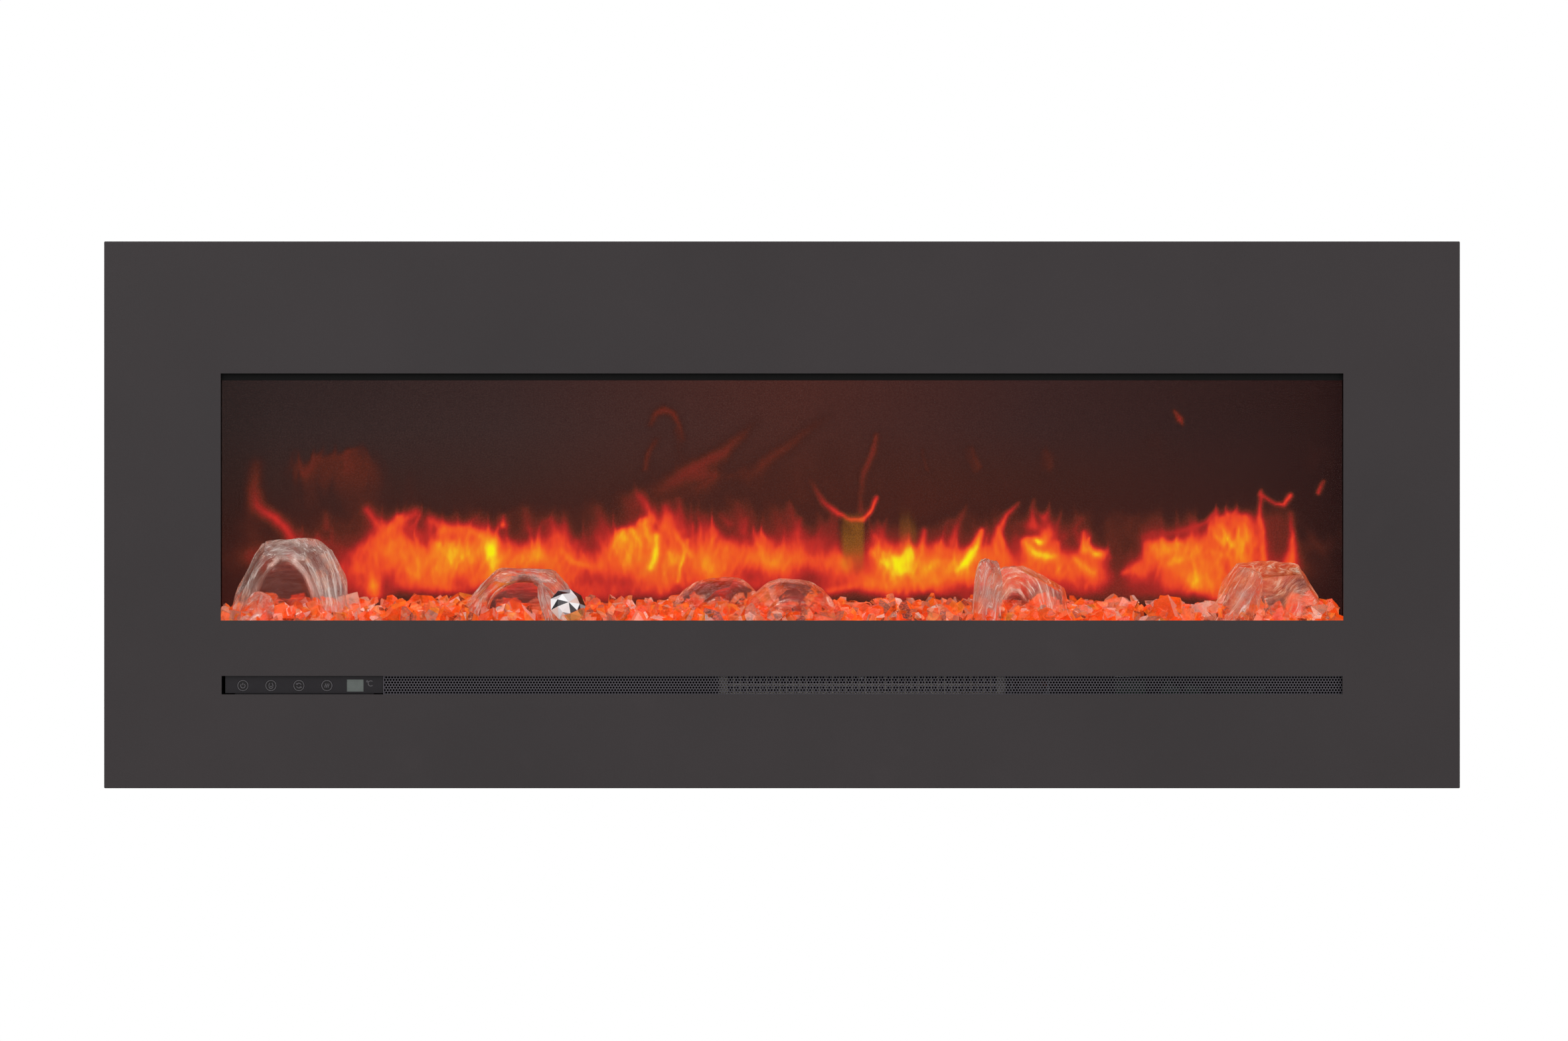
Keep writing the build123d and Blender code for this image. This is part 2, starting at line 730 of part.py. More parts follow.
def flicker_spindle():
    """Thin axle along the casing, with reflective vanes clipped along it at changing angles."""
    left, right, _ = spindle_ends()
    add("flicker_axle", rod(spindle_r, (left, right), spindle_y, spindle_z))
    vanes = []
    bore = spindle_r + 0.02
    for i, at in enumerate(spread(left + 30.0, right - 34.0, vane_pitch)):
        wings = Box(vane_w, vane_t, 2 * vane_r - 0.5)
        hub = Rot(0, 90, 0) * Cylinder(bore + 1.2, vane_w * 0.4)
        vane = wings + hub - Rot(0, 90, 0) * Cylinder(bore, vane_w + 2)
        placed = Pos(at, spindle_y, spindle_z) * Rot((i * 67.0) % 180.0, 0, 0) * vane
        vanes += placed.solids()
    add("flicker_vanes", *vanes)


def spindle_supports():
    """A bush in its bracket at the left. Coupling, gearmotor and motor plate at the right."""
    left, right, plate_x = spindle_ends()
    bush_end = left + bush_len
    bush_through = (left - 1, bush_end + 3.0)
    bush = rod(bush_r, (left, bush_end), spindle_y, spindle_z)
    bush += rod(bush_r + 2.0, (bush_end, bush_end + 1.5), spindle_y, spindle_z)
    bush -= rod(spindle_r + touch, bush_through, spindle_y, spindle_z)
    foot_z = (shelf_top, shelf_top + mount_t)
    post_x = (left + 5.0, left + 5.0 + mount_t)
    post_y = around(spindle_y, post_w)
    post = block(post_x, post_y, (shelf_top, spindle_z + 12.0))
    post += block((post_x[0], left + post_w), post_y, foot_z)
    add("spindle_bearing", post - rod(bush_r, bush_through, spindle_y, spindle_z), bush)

    grip = (right - 8.0, right + 11.0)
    drive_r = spindle_r + 0.5
    sleeve = rod(coupling_r, grip, spindle_y, spindle_z)
    sleeve -= rod(spindle_r, (grip[0] - 1, right), spindle_y, spindle_z)
    sleeve -= rod(drive_r, (right, grip[1] + 1), spindle_y, spindle_z)
    add("spindle_coupling", sleeve)
    shaft_end = plate_x + flicker_motor_t - 3.0
    add("flicker_motor_shaft", rod(drive_r, (right + 0.5, shaft_end), spindle_y, spindle_z))

    plate_y = around(spindle_y, motor_plate_w)
    plate = block((plate_x, plate_x + mount_t), plate_y, (shelf_top, spindle_z + 42.0))
    plate += block((plate_x - motor_foot, plate_x), plate_y, foot_z)
    shaft_hole = rod(7.0, (plate_x - 1, plate_x + mount_t + 1), spindle_y, spindle_z)
    add("flicker_motor_plate", plate - shaft_hole)
    can_x = (plate_x + mount_t, plate_x + mount_t + flicker_motor_t)
    can_z = spindle_z + flicker_motor_offset
    can_round = 2.0
    can = rod(flicker_motor_r - can_round, can_x, spindle_y, can_z)
    can = fillet(can.edges().filter_by(GeomType.CIRCLE).group_by(Axis.X)[-1], can_round)
    can += block((can_x[0], can_x[0] + 1.0), around(spindle_y, motor_ears_w), around(can_z, 12.0))
    bore = rod(drive_r + touch, (can_x[0] - 1, can_x[1] - 3.0), spindle_y, spindle_z)
    add("flicker_motor", can - bore)


# ---------------------------------------------------------------- heater
def blower_wheel():
    """Crossflow wheel: a ring of slanted vanes between end discs."""
    x = (blower_left + 3.0, blower_right - 3.0)
    wheel = rod(wheel_r, (x[0], x[0] + 1.5), wheel_y, wheel_z)
    wheel += rod(wheel_r, (x[1] - 1.5, x[1]), wheel_y, wheel_z)
    mid = sum(x) / 2
    ring = rod(wheel_r, (mid - 0.75, mid + 0.75), wheel_y, wheel_z)
    wheel += ring - rod(wheel_r - 7.0, (mid - 2, mid + 2), wheel_y, wheel_z)
    for i in range(wheel_vanes):
        turn = Pos(0, wheel_y, wheel_z) * Rot(360.0 * i / wheel_vanes, 0, 0)
        vane = Pos(mid, 0, wheel_r - 3.6) * Rot(34, 0, 0) * Box(x[1] - x[0] - 1.0, 0.7, 6.0)
        wheel += turn * vane
    hub_x = (x[1] - 9.0, x[1] - 1.5)
    wheel += rod(5.5, hub_x, wheel_y, wheel_z)
    wheel -= rod(blower_shaft_r, (hub_x[0], x[1] + 1), wheel_y, wheel_z)
    wheel += rod(wheel_pivot_r, (x[0] - 5.5, x[0]), wheel_y, wheel_z)
    add("blower_wheel", wheel)


def motor_places():
    """The blower motor's laminated stack, and its two bearing bridges."""
    stack = (blower_right + 16.0, blower_right + 16.0 + stack_t)
    return stack, (stack[0] - 8.0, stack[0] - 6.5), (stack[1] + 6.5, stack[1] + 8.0)


def blower_motor():
    """Shaded-pole motor on the wheel's right, with its rotor on the wheel's shaft."""
    stack_x, near_x, far_x = motor_places()
    add("blower_shaft", rod(blower_shaft_r, (blower_right - 12.0, far_x[1] + 5.0), wheel_y, wheel_z))
    rotor = rod(motor_rotor_r, stack_x, wheel_y, wheel_z)
    rotor -= rod(blower_shaft_r, (stack_x[0] - 1, stack_x[1] + 1), wheel_y, wheel_z)
    add("motor_rotor", rotor)

    height = 2 * motor_rotor_r + 22.0
    y = (wheel_y - motor_rotor_r - 8.0, wheel_y + motor_rotor_r + 30.0)
    stack = block(stack_x, y, around(wheel_z, height))
    stack -= rod(motor_rotor_r + motor_air_gap, (stack_x[0] - 1, stack_x[1] + 1), wheel_y, wheel_z)
    leg_y = (y[1] - 11.0, y[1])
    window = block(
        (stack_x[0] - 1, stack_x[1] + 1),
        (wheel_y + motor_rotor_r + 6.0, leg_y[0]),
        around(wheel_z, height - 22.0),
    )
    add("motor_stack", stack - window)
    coil_z = around(wheel_z, height - 23.0)
    coil = block((stack_x[0] - 8.0, stack_x[1] + 8.0), (leg_y[0] - 10.0, leg_y[1] + 6.0), coil_z)
    coil = fillet(coil.edges().filter_by(Axis.Z), 4.0)
    coil -= block((stack_x[0], stack_x[1]), leg_y, (coil_z[0] - 1, coil_z[1] + 1))
    add("motor_coil", coil)

    bridges = []
    near_feet = (blower_right + sheet, stack_x[0])
    for plate_x, foot_x in ((near_x, near_feet), (far_x, (stack_x[1], far_x[1]))):
        bridge_y = around(wheel_y, 12.0)
        bridge = block(plate_x, bridge_y, around(wheel_z, height))
        for side in (-1, 1):
            bridge += block(foot_x, bridge_y, around(wheel_z + side * (height / 2 - 3.0), 6.0))
        bridges.append(bridge - rod(4.5, (plate_x[0] - 1, plate_x[1] + 1), wheel_y, wheel_z))
    add("motor_bridges", *bridges, *motor_bushes())


def motor_bushes():
    """A plain bush in each of the motor's bridges."""
    bushes = []
    for plate_x in motor_places()[1:]:
        bush_x = (plate_x[0] - 1.5, plate_x[1] + 1.5)
        bush = rod(4.5, bush_x, wheel_y, wheel_z)
        through = (bush_x[0] - 1, bush_x[1] + 1)
        bushes.append(bush - rod(blower_shaft_r + touch, through, wheel_y, wheel_z))
    return bushes


def sector(radius, thickness, start, stop, x):
    """A curved sheet round the blower's axis between two angles, 0 to the back and 90 up."""
    def at(r, angle):
        return Vector(x[0], wheel_y + r * cos(radians(angle)), wheel_z + r * sin(radians(angle)))

    half = (start + stop) / 2
    outer = radius + thickness
    face = make_face(
        [
            ThreePointArc(at(radius, start), at(radius, half), at(radius, stop)),
            Line(at(radius, stop), at(outer, stop)),
            ThreePointArc(at(outer, stop), at(outer, half), at(outer, start)),
            Line(at(outer, start), at(radius, start)),
        ]
    )
    return extrude(face, x[1] - x[0], dir=(1, 0, 0))


def blower_housing():
    """Scroll behind and below the wheel, a tongue above its outlet, and two end plates."""
    x = (blower_left, blower_right)
    inner = wheel_r + scroll_gap
    scroll = sector(inner, scroll_t, -90, 40, x)
    floor_z = (wheel_z - inner - scroll_t, wheel_z - inner)
    scroll += block(x, (element_y()[1] + 1.0, wheel_y + 0.1), floor_z)
    tongue_z = duct_z()[1]
    rise = tongue_z - wheel_z
    reach = (inner**2 - rise**2) ** 0.5
    tongue = block(x, (element_y()[1] + 1.0, wheel_y - reach), (tongue_z - scroll_t, tongue_z))
    tongue += block(x, around(wheel_y - reach, scroll_t), (tongue_z - scroll_t, tongue_z + 8.0))
    add("blower_scroll", scroll, tongue)
    plates = []
    for side_x in ((x[0] - sheet, x[0]), (x[1], x[1] + sheet)):
        plate_z = (casing_bottom + sheet, wheel_z + inner + 2.0)
        plate = block(side_x, (element_y()[1] + 1.0, wheel_y + inner + 3.0), plate_z)
        hole = 5.0 if side_x[0] < x[0] else blower_shaft_r + 1.5
        plates.append(plate - rod(hole, (side_x[0] - 1, side_x[1] + 1), wheel_y, wheel_z))
    bush_x = (x[0] - sheet - 3.0, x[0] + 1.0)
    bush = rod(5.0, bush_x, wheel_y, wheel_z)
    bush -= rod(wheel_pivot_r + touch, (bush_x[0] + 1.0, bush_x[1] + 1), wheel_y, wheel_z)
    add("blower_end_plates", *plates, bush)


def duct_z():
    """Height range of the outlet duct, centred on the slot."""
    return around((slot_top + slot_bottom) / 2, duct_h)


def element_y():
    """Depth range of the heating element."""
    front = frame_back + 22.0
    return front, front + element_d


def heating_element():
    """Ceramic heater bars with fins, in end holders, with a cut-out on its duct."""
    x = (blower_left + 8.0, blower_right - 8.0)
    y = element_y()
    z0, z1 = duct_z()
    inside = (z0 + sheet + 1.0, z1 - sheet - 1.0)
    core = block(x, y, inside)
    cuts = []
    bar = 2.4
    cell = (inside[1] - inside[0] - 3 * bar) / 2
    for row in range(2):
        low = inside[0] + bar + row * (cell + bar)
        for at in spread(x[0] + 4.0, x[1] - 4.0, 7.0):
            cuts.append(block(around(at, 5.6), (y[0] - 1, y[1] + 1), (low, low + cell)))
    holders = []
    for side_x in ((blower_left, x[0]), (x[1], blower_right)):
        holders.append(block(side_x, (y[0] - 1.5, y[1] + 1.0), (z0 + sheet, z1 - sheet)))
    add("heating_element", core - cuts, *holders)
    duct = block((blower_left - sheet, blower_right + sheet), (frame_back + 4.0, y[1] + 1.0), (z0, z1))
    duct -= block((blower_left, blower_right), (frame_back + 3.0, y[1] + 2.0), (z0 + sheet, z1 - sheet))
    add("outlet_duct", duct)
    cutout = rod(8.0, blower_left + 60.0, sum(y) / 2, (z1, z1 + 7.0))
    cutout += block(around(blower_left + 60.0, 24.0), around(sum(y) / 2, 8.0), (z1, z1 + 0.8))
    add("thermal_cutout", cutout)


# ---------------------------------------------------------------- air outlet strip, keys, display
def strip_z():
    """Height range of the strip parts that stand in the casing front's slot."""
    return slot_bottom - 1.2, slot_top + 1.2


def outlet_grille():
    """Pressed strip with folded edges. Rows of short slots let the warm air out."""
    x = (fascia_right + 0.2, slot_right + 1.0)
    z = strip_z()
    back = frame_back + grille_t
    strip = block(x, (face_front, back), z)
    strip += block(x, (frame_back, back), (z[0] - strip_flange, z[1] + strip_flange))
    hollow_z = (z[0] + grille_t, z[1] - grille_t)
    strip -= block((x[0] - 1, x[1] + 1), (face_front + grille_t, back + 1), hollow_z)
    through = (face_front - 1, face_front + 2)
    cuts = []
    for row in range(grille_rows):
        above = (row - (grille_rows - 1) / 2) * grille_row_pitch
        row_z = around((z[0] + z[1]) / 2 + above, grille_slot_h)
        for at in spread(x[0] + 14.0, x[1] - 14.0, grille_slot_w + 3.5):
            cuts.append(block(around(at, grille_slot_w), through, row_z))
    add("outlet_grille", strip - cuts)


def key_places():
    """Key names with their x."""
    names = ("power", "flame", "ember", "heat")
    return [(name, slot_left + key_first + i * key_pitch) for i, name in enumerate(names)]


def control_strip():
    """Moulded fascia with round keys, a display window, and the board behind."""
    z = (slot_bottom + fascia_foot_gap, slot_top + 1.2)
    back = frame_back + 6.0
    fascia_back = face_front + fascia_t
    fascia = block((fascia_left, fascia_right), (face_front, back), z)
    ears_x = (fascia_left + 10.0, fascia_right - 10.0)
    ears_z = (z[0] - strip_flange, z[1] + strip_flange)
    fascia += block(ears_x, (frame_back, frame_back + 1.6), ears_z)
    wall = 1.0
    hollow_x = (fascia_left + wall, fascia_right - wall)
    fascia -= block(hollow_x, (fascia_back, back + 1), (z[0] + wall, z[1] - wall))
    through = (face_front - 1, fascia_back + 1)
    cuts = [rod(key_r + key_play, x, through, key_z) for _, x in key_places()]
    display_middle = slot_left + display_at
    display_x = around(display_middle, display_w)
    display_z = around(key_z, display_h)
    cuts.append(block(display_x, through, display_z))
    add("control_fascia", fascia - cuts)
    add("display_lens", block(display_x, (face_front + 0.3, fascia_back), display_z))

    switch_top = key_stem_end() + key_travel + touch
    switch_body = switch_top + 0.8
    solids = [block((fascia_left, fascia_right), (back, back + board_t), z)]
    for name, x in key_places():
        cap = rod(key_r, x, (face_front - 0.2, fascia_back + 0.3), key_z)
        flange = rod(key_r + 0.7, x, (fascia_back + 0.1, fascia_back + 1.0), key_z)
        stem = rod(key_stem_r, x, (fascia_back + 1.0, key_stem_end()), key_z)
        keycap = cap + flange + stem
        add(f"key_{name}", keycap)
        switch = block(around(x, key_switch_w), (switch_body, back), around(key_z, key_switch_w))
        switch += rod(1.6, x, (switch_top, switch_body), key_z)
        solids.append(switch)
    solids.append(block(around(display_middle, display_w + 2), (fascia_back, back), display_z))
    add("control_board", *solids)


def key_stem_end():
    """How far back a key's stem reaches at rest."""
    return face_front + fascia_t + 3.0


# ---------------------------------------------------------------- power and side fittings
def gland_y():
    """The cord gland's place, and the switch's, on the right side."""
    return casing_back - 34.0


def gland_z():
    """Height of the gland and the switch, level with the blower."""
    return casing_bottom + 34.0


def rocker_y():
    """The rocker switch's place on the right side."""
    return casing_back - 84.0


def cord_gland():
    """Cable gland on the right side, with its nut inside."""
    out = casing_w / 2
    y, z = gland_y(), gland_z()
    flange = extrude(Plane.YZ * RegularPolygon(gland_hex_r, 6), gland_hex_t)
    gland = Pos(out, y, z) * flange
    gland += cone_x(9.0, 6.5, (out + gland_hex_t, out + 17.0), y, z)
    gland += rod(gland_body_r, (side_in - 9.0, out), y, z)
    gland -= rod(gland_bore_r, (side_in - 10.0, out + 20.0), y, z)
    nut = Pos(side_in - gland_hex_t, y, z) * flange
    nut -= rod(gland_body_r, (side_in - gland_hex_t - 1.0, side_in + 1.0), y, z)
    add("cord_gland", gland, nut)


def rocker_switch():
    """Master switch: a housing snapped into the side, and a paddle that rocks in it."""
    out = casing_w / 2
    pin_r = 1.0
    pin_x = out - 2.0
    bezel_w = 15.0
    bezel_h = 21.0
    body_w = bezel_w - 2.2
    well_w = bezel_w - 4.6
    body_back = side_in - 14.0
    y, z = rocker_y(), gland_z()
    bezel = block((out, out + 2.0), around(y, bezel_w), around(z, bezel_h))
    bezel = fillet(bezel.edges().filter_by(Axis.X), 1.0)
    body = bezel + block((body_back, out), around(y, body_w), around(z, bezel_h - 2.2))
    body -= block((side_in - 6.0, out + 3.0), around(y, well_w), around(z, bezel_h - 4.6))
    body -= rod(pin_r + touch, pin_x, around(y, well_w + 1.4), z)
    blade_x = (body_back - 7.0, body_back)
    terminals = [block(blade_x, around(y, 4.8), around(z + drop, 0.8)) for drop in (-5, 5)]
    add("rocker_housing", body, *terminals)
    paddle_w = well_w - 0.4
    paddle = Pos(2.25, 0, 0) * Box(7.5, paddle_w, 15.6)
    paddle &= Pos(-2.5, 0, 0) * Rot(90, 0, 0) * Cylinder(9.0, paddle_w)
    paddle -= Pos(15.6, 0, 0) * Rot(90, 0, 0) * Cylinder(11.0, paddle_w + 2.0)
    paddle += rod(pin_r, 0, around(0, paddle_w + 1.6), 0)
    tilted = Pos(pin_x, y, z) * Rot(0, -rocker_tilt, 0) * paddle
    add("rocker_paddle", tilted)


def power_board():
    """Driver board with its transformer, relays and terminal block, in the right-hand bay."""
    x0 = side_in - power_board_from_side
    floor = casing_bottom + sheet
    under = floor + power_board_rise
    top = under + board_t
    board_x = (x0, x0 + power_board_w)
    posts = []
    for x in (board_x[0] + 10.0, board_x[1] - 10.0):
        for y in (power_board_y[0] + 10.0, power_board_y[1] - 10.0):
            posts.append(rod(post_r, x, y, (floor, under)))
    parts = [block(board_x, power_board_y, (under, top))]
    for start, width, y, height in power_board_boxes:
        parts.append(block((x0 + start, x0 + start + width), y, (top, top + height)))
    for start, radius, y, height in power_board_cans:
        parts.append(rod(radius, x0 + start, y, (top, top + height)))
    block_x = (x0 + 120.0, x0 + 172.0)
    terminal_y = (-64.0, -46.0)
    terminal = block(block_x, terminal_y, (top, top + terminal_h))
    well_z = (top + terminal_h - 6.0, top + terminal_h + 1.0)
    well_xs = spread(block_x[0] + 7, block_x[1] - 7, 10)
    wells = [rod(2.6, at, sum(terminal_y) / 2, well_z) for at in well_xs]
    for x in harness_plugs():
        parts.append(block(around(x, 9.0), around(plug_y, 7.0), (top, plug_top())))
    add("power_board", *parts, terminal - wells, *posts)


def harness_plugs():
    """Plugs on the driver board: lamps, keys, blower and heater."""
    return [side_in - first_plug_from_side + plug_pitch * i for i in range(4)]


def plug_top():
    """Height of the plugs' upper faces."""
    return casing_bottom + sheet + power_board_rise + board_t + plug_h


def lead(*points):
    """A round bundle of wires along straight runs joined by arcs."""
    path = FilletPolyline(*points, radius=lead_bend)
    return sweep((path ^ 0) * Circle(lead_r), path=path)


def wire_harness():
    """Leads from the driver board to the lamps, the keys, the blower motor and the heater."""
    lamps, keys, motor, heater = harness_plugs()
    end = plug_top()
    high = shelf_top - 20.0
    key_high = high + 6.0
    level = wheel_z
    shelf_hole = (lamps, spindle_y + shelf_hole_behind_spindle)
    lamp_lead = lead(
        (*shelf_hole, shelf_top), (*shelf_hole, high), (lamps, plug_y, high), (lamps, plug_y, end)
    )
    board_y = frame_back + 6.0 + board_t
    key_run = frame_back + 22.0
    key_x = fascia_right - 15.0
    key_lead = lead(
        (key_x, board_y, key_z),
        (key_x, key_run, key_z),
        (key_x, key_run, key_high),
        (keys, key_run, key_high),
        (keys, plug_y, key_high),
        (keys, plug_y, end),
    )
    coil_x = motor_places()[0][1] + 8.0
    coil_y = wheel_y + motor_rotor_r + 20.0
    motor_lead = lead(
        (coil_x, coil_y, level), (motor, coil_y, level), (motor, plug_y, level), (motor, plug_y, end)
    )
    duct_y = sum(element_y()) / 2
    duct_x = blower_right + sheet
    heater_lead = lead(
        (duct_x, duct_y, level), (heater, duct_y, level), (heater, plug_y, level), (heater, plug_y, end)
    )
    add("wire_harness", lamp_lead, key_lead, motor_lead, heater_lead)


def build_all():
    """Makes every node."""
    wall_bracket()
    casing_hooks()
    wall_bumpers()
    top_panel()
    bottom_panel()
    back_panel()
    side_panel("side_panel_left", -1)
    side_panel("side_panel_right", 1)
    front_frame()
    casing_screws()
    service_cover()
    divider_shelf()
    front_surround()
    add("surround_hangers", surround_hanger(-1), surround_hanger(1))
    hanger_studs()
    glass_set()
    chamber_liner()
    flame_screen()
    ember_tray()
    board_x = (-chamber_half + 20.0, chamber_half - 20.0)
    led_board("ember_led_board", board_x, (glass_back + screen_front) / 2, shelf_top, 14.0, 40.0)
    left, _, plate_x = spindle_ends()
    led_board("flame_led_board", (left + 24.0, plate_x - 16.0), spindle_y + 16.0, shelf_top, 12.0, 30.0)
    crystals()
    flame_stencil()
    flicker_spindle()
    spindle_supports()
    blower_wheel()
    blower_motor()
    blower_housing()
    heating_element()
    outlet_grille()
    control_strip()
    cord_gland()
    rocker_switch()
    power_board()
    wire_harness()


build_all()
os.makedirs("parts", exist_ok=True)
for node, shape in nodes.items():
    export_step(shape, f"parts/{node}.step")
print(len(nodes), "nodes")
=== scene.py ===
"""Looks for a wide wall-hung electric fire: its finishes and the fine pieces laid over the frame."""

import json
import logging
import math
import random
from dataclasses import dataclass, field
from enum import Enum

import bmesh
import bpy
import numpy as np
from mathutils import Euler, Matrix, Vector, noise


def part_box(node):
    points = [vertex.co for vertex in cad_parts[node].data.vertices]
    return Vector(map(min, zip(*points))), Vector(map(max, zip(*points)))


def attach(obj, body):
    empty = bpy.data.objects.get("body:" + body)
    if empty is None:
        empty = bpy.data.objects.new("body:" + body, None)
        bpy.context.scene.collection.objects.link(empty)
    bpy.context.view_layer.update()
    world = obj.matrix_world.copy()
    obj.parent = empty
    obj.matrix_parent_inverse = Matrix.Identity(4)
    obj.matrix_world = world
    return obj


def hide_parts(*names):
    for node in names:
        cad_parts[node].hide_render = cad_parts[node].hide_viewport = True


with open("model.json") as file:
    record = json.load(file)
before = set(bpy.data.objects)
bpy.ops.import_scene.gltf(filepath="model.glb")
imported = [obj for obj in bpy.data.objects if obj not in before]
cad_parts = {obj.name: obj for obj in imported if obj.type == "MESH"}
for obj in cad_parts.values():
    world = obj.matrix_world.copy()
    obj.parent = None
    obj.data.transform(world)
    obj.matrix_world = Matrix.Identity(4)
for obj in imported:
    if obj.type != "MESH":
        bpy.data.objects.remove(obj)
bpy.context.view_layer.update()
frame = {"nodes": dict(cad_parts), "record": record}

MM = 0.001
SEED = 2611
LOG = logging.getLogger("electric_fire")

Colour = tuple[float, float, float]
Number = float | int


def tone(red: Number, green: Number, blue: Number) -> tuple[float, float, float, float]:
    """Gives the scene-linear colour of a display colour counted from 0 to 255."""
    parts = [value / 255.0 for value in (red, green, blue)]
    linear = [p / 12.92 if p <= 0.04045 else ((p + 0.055) / 1.055) ** 2.4 for p in parts]
    return (*linear, 1.0)


def shade(colour: Colour | tuple, factor: float) -> tuple[float, float, float, float]:
    """Gives a linear colour made lighter or darker by a factor."""
    return (*(min(1.0, part * factor) for part in colour[:3]), 1.0)


class Slot(Enum):
    """The finishes of the fire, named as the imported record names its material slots."""

    SURROUND_COAT = "surround_coat"
    CASING_COAT = "casing_coat"
    ZINC_STEEL = "zinc_steel"
    BRIGHT_STEEL = "bright_steel"
    VANE_ALUMINIUM = "vane_aluminium"
    BLACK_STEEL = "black_steel"
    PANE_GLASS = "pane_glass"
    CRYSTAL_GLASS = "crystal_glass"
    SCREEN_PLASTIC = "screen_plastic"
    TRAY_PLASTIC = "tray_plastic"
    GRILLE_STEEL = "grille_steel"
    FASCIA_PLASTIC = "fascia_plastic"
    KEY_PLASTIC = "key_plastic"
    DISPLAY_PLASTIC = "display_plastic"
    CIRCUIT_BOARD = "circuit_board"
    BLACK_NYLON = "black_nylon"
    SOFT_RUBBER = "soft_rubber"
    MOTOR_IRON = "motor_iron"
    COIL_WIRE = "coil_wire"
    ELEMENT_CERAMIC = "element_ceramic"
    LEAD_SLEEVE = "lead_sleeve"


class Signal:
    """A shader socket; arithmetic on it adds the Math node that does the same sum."""

    def __init__(self, graph: "Graph", socket: bpy.types.NodeSocket) -> None:
        """Holds a socket of a graph.

        Args:
            graph: the node tree that the socket belongs to.
            socket: the output that carries the value.
        """
        self.graph = graph
        self.socket = socket

    def _math(self, operation: str, first: "Signal | Number", second: "Signal | Number") -> "Signal":
        """Adds one Math node.

        Args:
            operation: the Math node's operation.
            first: its first value.
            second: its second value.

        Returns:
            The result.
        """
        return self.graph.node("ShaderNodeMath", {"operation": operation}, {0: first, 1: second})

    def __add__(self, other: "Signal | Number") -> "Signal":
        """Adds a value."""
        return self._math("ADD", self, other)

    __radd__ = __add__

    def __sub__(self, other: "Signal | Number") -> "Signal":
        """Takes a value away."""
        return self._math("SUBTRACT", self, other)

    def __rsub__(self, other: "Signal | Number") -> "Signal":
        """Takes this signal away from a value."""
        return self._math("SUBTRACT", other, self)

    def __mul__(self, other: "Signal | Number") -> "Signal":
        """Multiplies by a value."""
        return self._math("MULTIPLY", self, other)

    __rmul__ = __mul__

    def __pow__(self, other: "Signal | Number") -> "Signal":
        """Raises to a power."""
        return self._math("POWER", self, other)

    def step(self, low: Number, high: Number) -> "Signal":
        """Gives 0 below one value and 1 above another, with a smooth rise between.

        Args:
            low: where the rise starts.
            high: where the rise ends.

        Returns:
            The eased signal.
        """
        settings = {"interpolation_type": "SMOOTHSTEP"}
        values = {0: self, 1: low, 2: high, 3: 0.0, 4: 1.0}
        return self.graph.node("ShaderNodeMapRange", settings, values)


